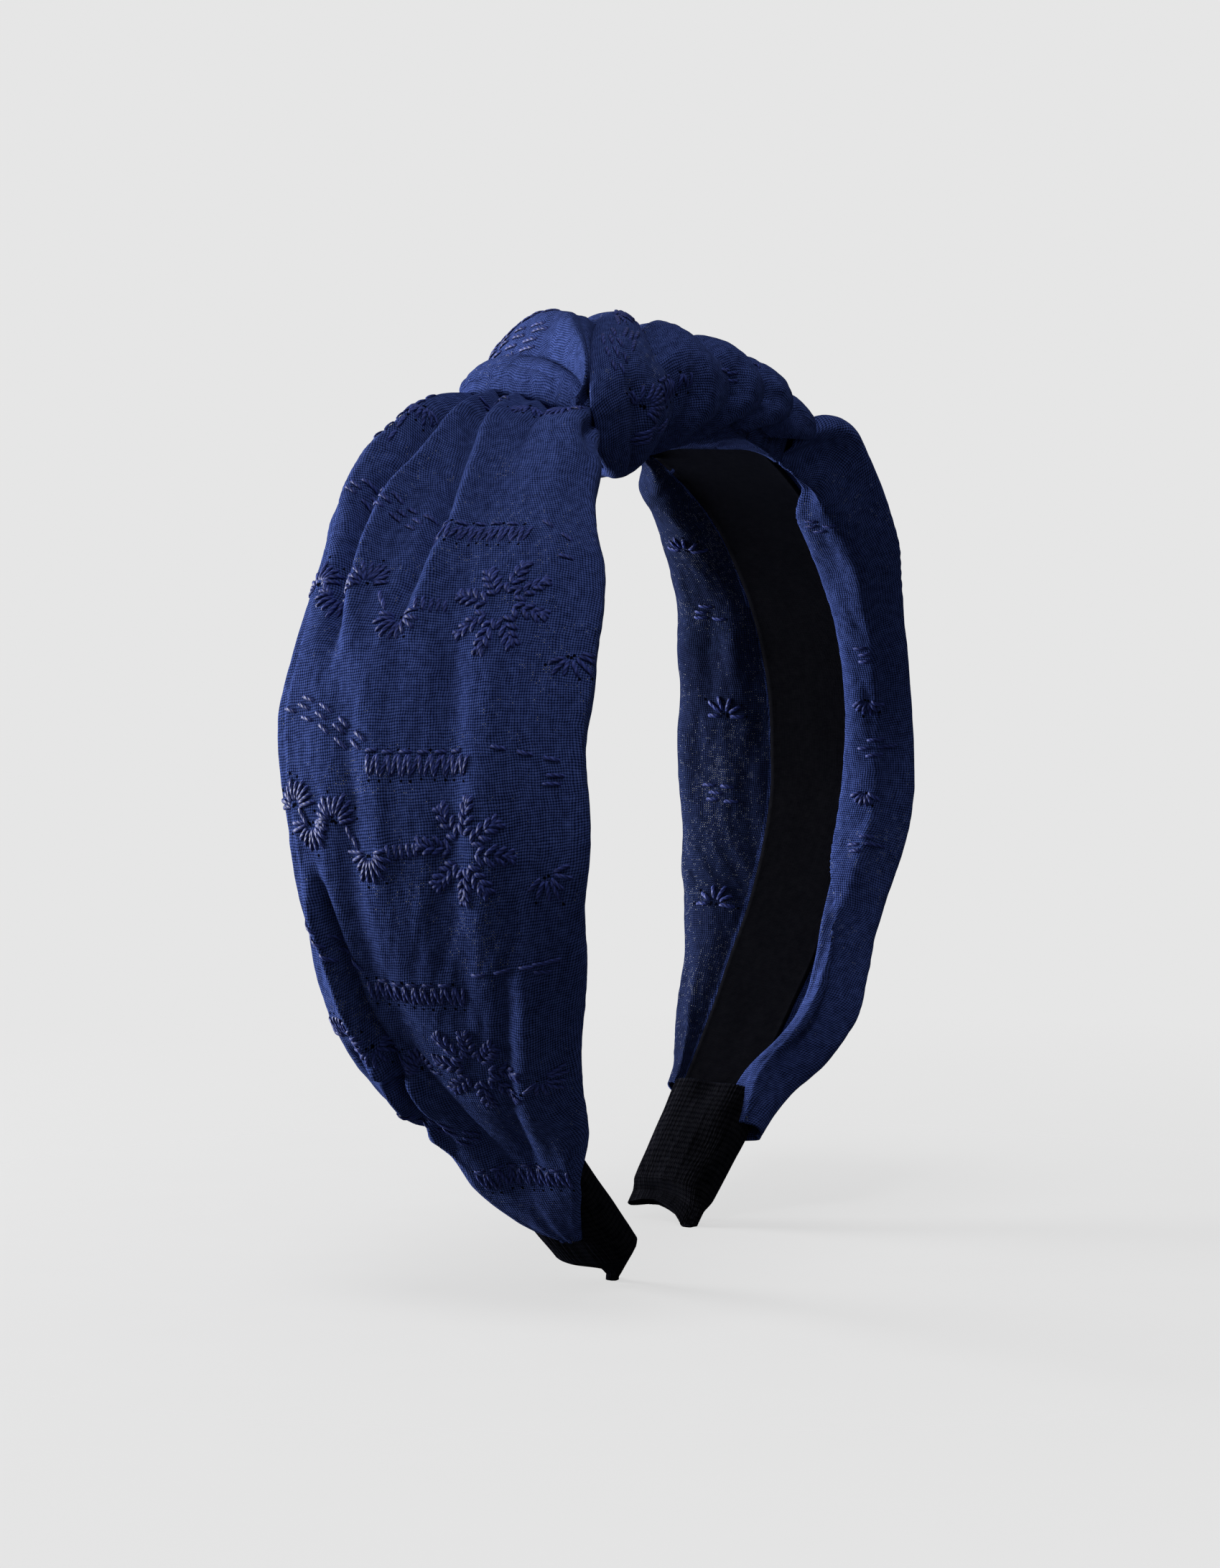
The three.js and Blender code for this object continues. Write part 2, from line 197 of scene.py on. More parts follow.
def arc_uv(P, length):
    """UV in metres: u along `length` (nu), v the arc length across each row, counted from its middle."""
    d = np.linalg.norm(np.diff(P, axis=1), axis=2)
    v = np.concatenate([np.zeros((P.shape[0], 1)), np.cumsum(d, axis=1)], 1)
    v -= v[:, v.shape[1] // 2][:, None]
    u = np.repeat(np.asarray(length)[:, None], P.shape[1], 1) if np.ndim(length) == 1 else length
    return np.stack([v, u], 2)


# ---- materials ------------------------------------------------------------------
class Nodes:
    def __init__(self, name):
        self.m = bpy.data.materials.new(name)
        self.m.use_nodes = True
        self.t = self.m.node_tree
        self.p = self.t.nodes["Principled BSDF"]

    def new(self, kind, **kw):
        n = self.t.nodes.new(kind)
        for k, v in kw.items():
            setattr(n, k, v)
        return n

    def link(self, a, b):
        self.t.links.new(a, b)

    def math(self, op, a, b=None, clamp=False):
        n = self.new("ShaderNodeMath", operation=op, use_clamp=clamp)
        for i, x in enumerate([a, b]):
            if x is None:
                continue
            if isinstance(x, (int, float)):
                n.inputs[i].default_value = x
            else:
                self.link(x, n.inputs[i])
        return n.outputs[0]

    def ramp(self, fac, stops):
        n = self.new("ShaderNodeValToRGB")
        e = n.color_ramp.elements
        while len(e) < len(stops):
            e.new(0.5)
        for x, (pos, col) in zip(e, stops):
            x.position = pos
            x.color = (*col, 1) if len(col) == 3 else col
        self.link(fac, n.inputs[0])
        return n.outputs[0]

    def mix(self, fac, a, b, kind="MIX"):
        n = self.new("ShaderNodeMix", data_type="RGBA", blend_type=kind)
        for i, x in ((0, fac), (6, a), (7, b)):
            if isinstance(x, (int, float)):
                n.inputs[i].default_value = x
            elif isinstance(x, tuple):
                n.inputs[i].default_value = (*x, 1)
            else:
                self.link(x, n.inputs[i])
        return n.outputs[2]

    def noise(self, vector, scale, detail=2.0, rough=0.5):
        n = self.new("ShaderNodeTexNoise")
        n.inputs["Scale"].default_value = scale
        n.inputs["Detail"].default_value = detail
        n.inputs["Roughness"].default_value = rough
        if vector is not None:
            self.link(vector, n.inputs["Vector"])
        return n.outputs[0]

    def bump(self, height, distance, strength=1.0, normal=None):
        n = self.new("ShaderNodeBump")
        n.inputs["Strength"].default_value = strength
        n.inputs["Distance"].default_value = distance
        self.link(height, n.inputs["Height"])
        if normal is not None:
            self.link(normal, n.inputs["Normal"])
        return n.outputs[0]


def weave(name, light, dark, gap, pitch, rough=0.9, sheen=0.25, relief=0.00012, pinhole_light=True, skew=0.0, warp_scale=1.0, open_=1.12):
    k = Nodes(name)
    uvn = k.new("ShaderNodeUVMap", uv_map="UVMap")
    co = k.new("ShaderNodeTexCoord").outputs["Object"]
    sep = k.new("ShaderNodeSeparateXYZ")
    k.link(uvn.outputs[0], sep.inputs[0])
    # yarns wander a little
    wob1 = k.math("MULTIPLY", k.math("SUBTRACT", k.noise(uvn.outputs[0], 260, 2), 0.5), pitch * 2.2)
    wob2 = k.math("MULTIPLY", k.math("SUBTRACT", k.noise(uvn.outputs[0], 190, 2), 0.5), pitch * 2.2)
    U = k.math("ADD", sep.outputs[0], wob1)
    V = k.math("ADD", k.math("ADD", sep.outputs[1], wob2), k.math("MULTIPLY", sep.outputs[0], skew))
    pu = k.math("MULTIPLY", U, math.pi / pitch)
    pv = k.math("MULTIPLY", V, math.pi / (pitch * warp_scale))
    su, sv = k.math("SINE", pu), k.math("SINE", pv)
    au, av = k.math("ABSOLUTE", su), k.math("ABSOLUTE", sv)
    sgu, sgv = k.math("SIGN", su), k.math("SIGN", sv)
    over = k.math("MULTIPLY", sgu, sgv)                       # +1 warp on top, -1 weft
    warp = k.math("ADD", k.math("MULTIPLY", k.math("MULTIPLY", over, av), 0.5), k.math("POWER", au, 0.6))
    weft = k.math("ADD", k.math("MULTIPLY", k.math("MULTIPLY", over, au), -0.5), k.math("POWER", av, 0.6))
    height = k.math("MULTIPLY", k.math("MAXIMUM", warp, weft), 0.667)
    slub = k.noise(co, 900, 3, 0.6)
    patch = k.noise(co, 55, 3, 0.55)
    # painted shade: the ramp runs from the gap colour in the weave's dips to the light colour on the yarn tops,
    # darkening the gaps between yarns
    tone = k.math("ADD", k.math("MULTIPLY", height, 0.75), k.math("MULTIPLY", k.math("SUBTRACT", slub, 0.5), 0.45))
    colour = k.ramp(tone, [(0.30, gap), (0.55, dark), (0.88, light)])
    shade = k.ramp(patch, [(0.3, (0.90, 0.90, 0.91)), (0.7, (1.05, 1.05, 1.04))])
    colour = k.mix(1.0, colour, shade, "MULTIPLY")
    # painted light: pale dots in the weave's open holes stand for light showing through the cloth
    if pinhole_light:
        hole = k.math("MULTIPLY", k.math("LESS_THAN", au, 0.42), k.math("LESS_THAN", av, 0.42))
        some = k.math("GREATER_THAN", k.math("ADD", k.noise(co, 1500, 1, 0.3), k.math("MULTIPLY", k.noise(co, 60, 2, 0.5), 0.75)), open_)
        colour = k.mix(k.math("MULTIPLY", k.math("MULTIPLY", hole, some), 0.6), colour, (0.5, 0.52, 0.58))
    k.link(colour, k.p.inputs["Base Color"])
    fuzz = k.noise(co, 2600, 2, 0.6)
    k.link(k.bump(k.math("ADD", height, k.math("MULTIPLY", fuzz, 0.35)), relief, 0.9), k.p.inputs["Normal"])
    k.p.inputs["Roughness"].default_value = rough
    k.p.inputs["Specular IOR Level"].default_value = 0.0
    k.p.inputs["Sheen Weight"].default_value = sheen
    k.p.inputs["Sheen Roughness"].default_value = 0.5
    k.p.inputs["Sheen Tint"].default_value = (0.35, 0.42, 0.75, 1)
    return k.m


def thread(name, light, dark, rough=0.5):
    k = Nodes(name)
    uvn = k.new("ShaderNodeUVMap", uv_map="UVMap")
    co = k.new("ShaderNodeTexCoord").outputs["Object"]
    sep = k.new("ShaderNodeSeparateXYZ")
    k.link(uvn.outputs[0], sep.inputs[0])
    twist = k.math("SINE", k.math("ADD", k.math("MULTIPLY", sep.outputs[0], 2 * math.pi * 3), k.math("MULTIPLY", sep.outputs[1], 2 * math.pi / 0.0011)))
    fine = k.noise(co, 3000, 2, 0.6)
    patch = k.noise(co, 300, 2, 0.5)
    tone = k.math("ADD", k.math("ADD", k.math("MULTIPLY", twist, 0.22), k.math("MULTIPLY", fine, 0.4)), k.math("MULTIPLY", patch, 0.55))
    k.link(k.ramp(tone, [(0.2, dark), (0.8, light)]), k.p.inputs["Base Color"])
    k.link(k.bump(k.math("ADD", twist, fine), 0.00004, 0.7), k.p.inputs["Normal"])
    k.p.inputs["Roughness"].default_value = rough
    k.p.inputs["Specular IOR Level"].default_value = 0.08
    k.p.inputs["Sheen Weight"].default_value = 0.03
    k.p.inputs["Sheen Tint"].default_value = (0.35, 0.42, 0.8, 1)
    return k.m


def plastic(name):
    k = Nodes(name)
    co = k.new("ShaderNodeTexCoord").outputs["Object"]
    n1, n2 = k.noise(co, 140, 4, 0.6), k.noise(co, 2400, 2, 0.5)
    k.link(k.ramp(n1, [(0.3, (0.010, 0.010, 0.011)), (0.75, (0.022, 0.022, 0.024))]), k.p.inputs["Base Color"])
    k.link(k.bump(n2, 0.00003, 0.5), k.p.inputs["Normal"])
    k.link(k.ramp(n1, [(0.3, (0.42,) * 3), (0.8, (0.6,) * 3)]), k.p.inputs["Roughness"])
    return k.m


# each weave's third colour is painted shade in the gaps between its yarns
COTTON = weave("cotton", (0.068, 0.104, 0.320), (0.023, 0.038, 0.135), (0.002, 0.003, 0.012), 0.00040, sheen=0.03)
# painted shade: a darker copy of the cotton for the far leg's inward-facing back margin
SHADED_COTTON = weave("cotton_painted_shade", (0.026, 0.038, 0.105), (0.009, 0.014, 0.045), (0.002, 0.003, 0.009), 0.00037, sheen=0.03, open_=0.99)
LINING = weave("ribbon", (0.0085, 0.0085, 0.0105), (0.0042, 0.0042, 0.0055), (0.001, 0.001, 0.0015), 0.00024, rough=0.75, sheen=0.02, relief=0.00004, pinhole_light=False)
GROS = weave("grosgrain", (0.0105, 0.0105, 0.013), (0.005, 0.005, 0.0065), (0.001, 0.001, 0.0015), 0.00032, rough=0.7, sheen=0.02, relief=0.00008, pinhole_light=False, warp_scale=3.0)
THREAD = thread("thread", (0.038, 0.058, 0.245), (0.009, 0.014, 0.070))
PLASTIC = plastic("band_plastic")
_h = Nodes("needle_hole")
_h.link(_h.ramp(_h.noise(_h.new("ShaderNodeTexCoord").outputs["Object"], 900, 2), [(0.3, (0.001, 0.001, 0.003)), (0.8, (0.004, 0.005, 0.012))]), _h.p.inputs["Base Color"])
_h.p.inputs["Roughness"].default_value = 0.95
_h.p.inputs["Specular IOR Level"].default_value = 0.0
HOLE = _h.m

for name in ("spring_band_crown", "spring_band_left", "spring_band_right"):
    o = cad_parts[name]
    o.data.materials.clear()
    o.data.materials.append(PLASTIC)

BLEND = {
    -1: dict(a="crown", b="left_leg", start=tuple(at(-24, 0, 0)), end=tuple(at(-38, 0, 0))),
    1: dict(a="crown", b="right_leg", start=tuple(at(31.5, 0, 0)), end=tuple(at(45.5, 0, 0))),
}


def bend(o):
    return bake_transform(o)


# ---- the two strips round the legs -------------------------------------------------
# [distance from the crown, front fold, back fold, lift, lift of the front fold, front return's swell, back return's swell, open pocket]
LEFT_ROWS = np.array([
    [15, -13.0, 15.5, 0.6, 0.0, 0.3, 0.4, 0], [20, -13.2, 16.8, 1.5, 0.0, 0.3, 0.4, 0], [26, -14.4, 18.2, 2.4, 0.0, 0.4, 0.6, 0],
    [32.5, -17.2, 18.9, 2.8, 0.1, 0.6, 0.8, 0], [38, -21, 19, 2.2, 0.3, 1.0, 1.0, 0], [46, -24, 19, 1.6, 0, 1.4, 1.2, 0],
    [54, -27.5, 17.8, 1.0, 0, 1.6, 1.2, 0], [61, -31, 16.2, 0.8, 0, 1.6, 1.2, 0], [69, -33.3, 15.8, 0.6, 0, 1.6, 1.2, 0],
    [77, -34, 15.8, 0.6, 0, 1.6, 1.2, 0], [84.5, -35, 16.6, 0.6, 0, 1.6, 1.2, 0], [92, -35, 16.1, 0.6, 0, 1.6, 1.2, 0],
    [100, -35, 15.2, 0.6, 0, 1.6, 1.2, 0], [107, -34.6, 15.4, 0.6, 0, 1.5, 1.2, 0], [115, -32, 16.2, 0.6, 0, 1.4, 1.2, 0],
    [123, -29.4, 18, 0.6, 0, 1.3, 1.2, 0], [130, -26, 18.6, 0.6, 0, 1.1, 1.1, 0], [138, -22, 18.1, 0.5, 0, 0.9, 0.9, 0],
    [146, -18.0, 16.6, 0.45, 0, 0.7, 0.7, 0], [153, -14.6, 12.9, 0.4, 0, 0.4, 0.4, 0], [159.5, -11.0, 10.9, 0.6, 0, 0.3, 0.3, 0],
    [163, -9.0, 10.5, 1.1, 0, 0.3, 0.3, 0], [166, -7.4, 9.6, 1.5, 0, 0.3, 0.3, 0], [169, -5.5, 8.0, 1.7, 0, 0.3, 0.3, 0], [172, -3.8, 5.9, 1.8, 0, 0.3, 0.3, 0], [174.8, -2.2, 1.6, 1.8, 0, 0.3, 0.3, 0]])
RIGHT_ROWS = np.array([
    [33, -13.5, 14.8, 0.8, 1.0, 0.6, 0.4, 0], [37, -17.0, 16.4, 4.4, 5.4, 1.0, 0.5, 0], [40.5, -18.6, 17.6, 5.4, 6.6, 1.4, 0.8, 0],
    [46, -19.6, 20.6, 4.6, 4.6, 2.4, 1.0, 0], [53.5, -20.2, 21.3, 3.0, 2.4, 3.0, 1.0, 0], [61, -19.6, 22.1, 1.6, 0.8, 3.2, 1.0, 0],
    [69, -17.6, 23.1, 0.9, 0.2, 3.2, 0.9, 0], [76, -16.8, 24.6, 0.6, 0, 3.0, 0.9, 0], [84, -16, 26.2, 0.6, 0, 3.3, 0.9, 0],
    [92, -15.8, 26.8, 0.6, 0, 3.0, 0.9, 0], [99, -15.8, 27.4, 0.6, 0, 3.3, 0.9, 0], [107, -16.2, 26.7, 0.6, 0, 3.2, 0.9, 0],
    [115, -15.9, 25.1, 0.6, 0, 3.2, 0.9, 0], [122, -15.5, 23.3, 0.6, 0, 2.8, 0.9, 0.35], [130, -15.6, 20.7, 0.6, 0, 2.0, 0.8, 1.0],
    [137.5, -17, 17.6, 0.5, 0, 1.6, 0.7, 1.0], [145, -17.7, 15.5, 0.4, 0, 1.4, 0.6, 1.0], [153, -15.8, 13.1, 0.35, 0, 1.0, 0.4, 1.0],
    [159.5, -12.2, 11.9, 0.4, 0, 0.6, 0.3, 0.6], [165, -10.4, 10.4, 0.7, 0, 0.3, 0.3, 0.2], [168.5, -9.8, 9.9, 0.9, 0, 0.3, 0.3, 0]])

CREASES = {
    -1: [  # (points (a, w), depth, width, raised side: +1 behind, -1 in front)
        ([(8, 14.5), (28.5, 10), (42.5, 9.5), (48.5, 10.5), (60, 9.5), (67.5, 8.5), (76, 7.0)], 2.3, 1.5, -1),
        ([(16, 7.5), (27, 4.5), (39, 1), (50.5, -2.5), (57.5, -4), (63.5, -4), (74, -3.6)], 1.7, 1.5, -1),
        ([(12, 20), (18.5, 19.5), (34.5, 16.5), (41.5, 18.5), (50, 18.8)], 1.5, 1.4, -1),
        ([(16, -2), (24, -4.5), (33, -6.5), (40, -8)], 0.8, 1.2, 1),
        ([(86, 2.5), (98, 1.5), (110, 3), (122, 3.5), (133, 2)], 0.5, 2.2, 1),
        ([(78, -14), (92, -15.5), (104, -15), (118, -12), (130, -9)], 0.45, 2.6, -1),
        ([(110, 9.5), (120.5, 9.0), (128, 9.3), (135, 8.6), (142, 10.2), (152, 9.5)], 2.4, 1.3, 1),
        ([(136, 15.5), (141, 10.4), (144.5, 10.6), (150, 12.2), (157, 13.6)], 1.7, 1.1, -1),
        ([(134, 4.5), (146, 3), (158, 2.5), (168, 2)], 0.8, 1.8, 1),
        ([(126, -18), (140, -10.5), (152, -5), (164, -2)], 0.7, 1.6, -1),
    ],
    1: [
        ([(38, 4), (52, 3), (66, 5), (84, 7)], 1.2, 2.0, -1),
        ([(38, -6), (48, -8), (60, -9), (74, -8)], 1.2, 1.8, 1),
        ([(60, 16), (80, 17), (100, 18), (120, 14)], 0.8, 2.2, -1),
        ([(90, -6), (110, -5), (130, -6), (150, -4)], 0.7, 2.0, 1),
        ([(112, 6), (130, 8), (148, 6), (162, 4)], 1.0, 1.8, -1),
    ],
}


def crease_field(a, w, lines):
    out = np.zeros(np.broadcast(a, w).shape)
    for pts, depth, width, side in lines:
        pts = np.array(pts, float)
        c = spline(a, pts[:, 0], pts[:, 1])
        fade = smooth(a, pts[0, 0] - 6, pts[0, 0] + 3) * (1 - smooth(a, pts[-1, 0] - 9, pts[-1, 0] + 6))
        d = (w - c) / width
        groove = -np.exp(-d * d)
        lip = 0.75 * np.exp(-((d * side - 1.9) / 1.35) ** 2)      # the side that folds over stands up
        out += depth * fade * (groove + lip)
    return out


def leg_section(rows, a):
    """Control points (w, n) of the cloth's middle round the leg, for each distance a."""
    col = [spline(a, rows[:, 0], rows[:, k]) for k in range(8)]
    _, front, rear, lift, fl, fs, bs, pocket = col
    h = half_band(a)
    top, low = 1.45, -1.15
    tuck = h - 3.4
    mf, mb = (front - h) / 2, (rear + h) / 2
    wf = front - (-h)                                   # minus: how far the fold stands in front of the band
    z = np.zeros_like(a)
    r = np.clip(-wf / 5.0, 0.45, 1.0)                   # narrow margins fold tighter
    R = 2.0 * r
    # the front return: tucked under the lining, or a free hem where the pocket stands open
    ov = smooth(fs, 1.7, 3.0)
    hem = smooth(a, 155, 163) * (1 if rows is LEFT_ROWS else 0)   # lower down only a narrow hem is turned in, over the cap

    def mix3(base, free, hemmed):
        x = base * (1 - pocket) + free * pocket
        return x * (1 - hem) + hemmed * hem

    over = 2.3
    crown = (1 if rows is LEFT_ROWS else 0) * smooth(a, 40, 75) * (1 - smooth(a, 140, 158))     # the near panel stands out in a low pillow
    pts = [
        (mix3(-tuck, front + 7.4, front + 2.6 + z), mix3(low + z, low - 2.5 + z, over + z)),
        (mix3(-h + 0.1, front + 7.0, front + 2.3 + z), mix3(low - 0.30 + z, low - 2.9 + z, over + z)),
        (mix3(-h - 0.1 + ov * 1.5, front + 6.3, front + 2.0 + z), mix3(low - 0.6 - 0.8 * ov, low - 3.1 + z, over + z)),
        (mix3(-h - 0.8 + ov * 4.2, front + 5.5, front + 1.7 + z), mix3(low - 0.8 - 1.7 * ov, low - 3.2 + z, over - 0.05 + z)),
        (mix3(-h - 1.6 + ov * 3.0, front + 4.6, front + 1.4 + z), mix3(low - 0.9 - 2.7 * ov, low - 3.2 + z, over - 0.1 + z)),
        (mix3(mf + 0.3, mf + 0.8, front + 1.1), mix3(low - 0.9 - 0.80 * fs, low - 0.9 - 0.75 * fs, over - 0.1 + z)),
        (mix3(front + R + 0.6, front + R + 0.6, front + 0.7), mix3(low - 0.45 - 0.42 * fs + fl * 0.8, low - 0.45 - 0.42 * fs + fl * 0.8, over - 0.05 + z)),
        (mix3(front + 0.55 * r, front + 0.55 * r, front + 0.3), mix3(low + 0.75 * r - 0.1 + fl, low + 0.75 * r - 0.1 + fl, over + 0.1 + z)),
        (front, ((top + low) / 2 + 0.35 + fl) * (1 - hem) + (over + 0.45) * hem), (mix3(front + 0.5 * r, front + 0.5 * r, front + 0.25), (top + 0.15 + fl) * (1 - hem) + (over + 0.75) * hem),
        (mix3(front + R, front + R, front + 0.9), (top + 0.85 * r + fl) * (1 - hem) + (over + 0.95) * hem),
        (mix3(mf, mf, front + 1.9), (top + 1.0 * r + np.maximum(lift, fl * 0.8) + 1.5 * crown) * (1 - hem) + (over + 1.0) * hem),
        (mix3(-h * 0.55, -h * 0.55, front * 0.6 + rear * 0.4 - 0.4), top + 0.45 + lift + 2.7 * crown), (z * (1 - hem) + (front + rear) / 2 * hem, top + 0.3 + lift + 2.6 * crown), (mix3(h * 0.55, h * 0.55, front * 0.4 + rear * 0.6 + 0.4), top + 0.45 + lift + 1.5 * crown),
        (mix3(mb, mb, rear - 1.9), (top + 1.0 * r + lift) * (1 - hem) + (over + 1.0) * hem), (mix3(rear - R, rear - R, rear - 0.9), (top + 0.85 * r) * (1 - hem) + (over + 0.95) * hem),
        (mix3(rear - 0.5 * r, rear - 0.5 * r, rear - 0.25), (top + 0.15) * (1 - hem) + (over + 0.75) * hem), (rear, ((top + low) / 2 + 0.35) * (1 - hem) + (over + 0.45) * hem),
        (mix3(rear - 0.55 * r, rear - 0.55 * r, rear - 0.3), (low + 0.75 * r - 0.1) * (1 - hem) + (over + 0.1) * hem), (mix3(rear - R - 0.6, rear - R - 0.6, rear - 0.7), (low - 0.35 - 0.5 * bs) * (1 - hem) + (over - 0.05) * hem),
        (mix3(mb - 0.6, mb - 0.6, rear - 1.2), (low - 0.7 - 0.6 * bs) * (1 - hem) + (over - 0.1) * hem), (mix3(h - 0.2, h - 0.2, rear - 1.9), (low - 0.1) * (1 - hem) + over * hem), (mix3(tuck, tuck, rear - 2.5), low * (1 - hem) + over * hem),
    ]
    return np.stack([np.stack(np.broadcast_arrays(w, n), -1) for w, n in pts], 1)   # (na, K, 2)


def resample(C, m):
    """Catmull-Rom through C (na, K, 2), m points evenly by arc length in each row."""
    K = C.shape[1]
    fine = 14
    seg = np.arange(0, K - 1, 1.0 / fine)
    i = seg.astype(int)
    t = (seg - i)[None, :, None]
    g = lambda j: C[:, np.clip(j, 0, K - 1)]
    p0, p1, p2, p3 = g(i - 1), g(i), g(i + 1), g(i + 2)
    d = 0.5 * ((2 * p1) + (-p0 + p2) * t + (2 * p0 - 5 * p1 + 4 * p2 - p3) * t * t + (-p0 + 3 * p1 - 3 * p2 + p3) * t ** 3)
    d = np.concatenate([d, C[:, -1:]], 1)
    L = np.concatenate([np.zeros((len(d), 1)), np.cumsum(np.linalg.norm(np.diff(d, axis=1), axis=2), 1)], 1)
    out = np.zeros((len(d), m, 2))
    for r in range(len(d)):
        x = np.linspace(0, L[r, -1], m)
        out[r, :, 0] = np.interp(x, L[r], d[r, :, 0])
        out[r, :, 1] = np.interp(x, L[r], d[r, :, 1])
    return out, L[:, -1]


SHEETS = {}


def leg_sheet(side, rows, na, m, end_shape, name, node):
    a = np.linspace(rows[0, 0], rows[-1, 0], na)
    C, width = resample(leg_section(rows, a), m)
    w, n = C[..., 0].copy(), C[..., 1].copy()
    tw, tn = np.gradient(w, axis=1), np.gradient(n, axis=1)
    L = np.hypot(tw, tn)
    nw, nn = -tn / L, tw / L                       # points away from the band on the outer panel
    A = np.repeat(a[:, None], m, 1)
    j = np.linspace(0, 1, m)[None, :]
    v = (j - 0.5) * width[:, None]
    seed = 3 if side < 0 else 11
    outer = smooth(nn, -0.2, 0.5)
    d = crease_field(A, w, CREASES[side]) * outer
    # long soft folds that run down the panel, and small dents
    free = smooth(np.abs(w) - half_band(A), -1.5, 4)
    d += 0.55 * noise(v / 11 + 3.1, A / 46, seed) * (0.45 + 0.55 * free)
    d += 0.34 * noise(v / 5.2, A / 21 + 7, seed + 1) * (0.5 + 0.5 * free)
    d += 0.16 * noise(v / 2.3, A / 7.5, seed + 2)
    d += 0.05 * noise(v / 0.9, A / 1.6, seed + 3)
    inner = 1 - outer
    d += inner * 0.5 * noise(v / 6, A / 13, seed + 4) * free
    edge = smooth(j, 0, 0.03) * smooth(1 - j, 0, 0.03)
    d *= edge
    near_band = (np.abs(w) < half_band(A) + 0.6) & (nn > 0.3) & (n > 0.2)
    d = d * (1 - 0.7 * smooth(A, 156, 166))
    d = np.where(near_band, np.maximum(d, 1.25 - n), d)       # the panel can't go through the band
    w2, n2 = w + nw * d, n + nn * d
    s = A.copy()
    if end_shape is not None:
        s = s + end_shape(A, w2)
    P = at(side * s, w2, n2)
    SHEETS[side] = dict(a=a, w=w2, P=P, N=normals(P) * side, nn=nn, m=m)
    uv = arc_uv(P, A / 1000)
    # rows of loose weave and stitches lie along v; the warp runs down the leg
    o = cloth_object(name, P, 0.00042, uv, COTTON, flip=side < 0)
    # painted shade: the far leg's back margin, where it turns inwards, gets the darker copy of the cotton
    if side > 0:
        o.data.materials.append(SHADED_COTTON)
        shaded_inside = ((w > half_band(A) + 0.2) & (nn < 0.1))[:-1, :-1].ravel()
        index = np.zeros(len(o.data.polygons), np.int32)
        index[:len(shaded_inside)] = shaded_inside
        index[len(shaded_inside):2 * len(shaded_inside)] = shaded_inside
        o.data.polygons.foreach_set("material_index", index)
    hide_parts(node)
    bend(o)
    return o


def near_end(A, w):
    return 0.25 * noise(w / 2.0, A / 9, 91) * smooth(A, 160, 170)


def near_start(A, w):
    t = 1 - smooth(A, 15, 30)
    return t * (-0.30 * w)


def far_end(A, w):
    t = smooth(A, 146, 168)
    return t * (-1.5 * smooth(-w, 2, 12) - 7.0 * smooth(w, 1, 9))


NA, NV = ((330, 230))
near = leg_sheet(-1, LEFT_ROWS, NA, NV, lambda A, w: near_end(A, w) + near_start(A, w), "strip_left", "fabric_strip_left")
far = leg_sheet(1, RIGHT_ROWS, NA, NV, far_end, "strip_right", "fabric_strip_right")

# ---- the knot --------------------------------------------------------------------
LEFT_LOOP = np.array([[0, 7.6, -17.2, 18.9, -4.0], [0.13, 8.6, -17.0, 19.4, -4.2], [0.25, 9.8, -16.8, 19.2, -4.6], [0.37, 12.0, -16.4, 18.2, -4.9],
                      [0.55, 13.9, -16.0, 17.2, -5.2], [0.78, 13.8, -15.8, 16.2, -5.4], [1, 12.4, -15.8, 16.0, -5.4]])
RIGHT_LOOP = np.array([[0, 13.2, -16.0, 15.6, -9.6], [0.15, 13.2, -16.8, 16.2, -8.6], [0.4, 12.3, -18.0, 16.6, -5.8],
                       [0.65, 11.5, -18.2, 16.8, -3.9], [0.85, 10.6, -17.8, 16.6, -3.4], [1, 9.6, -17.2, 16.4, -3.2]])


def seam(w):
    return np.maximum(-27.2, -3.0 + np.where(w < 0, 1.55, 0.70) * w)


def roll_edge(w):
    return -20.8 + 0.36 * w


LOOPS = {}


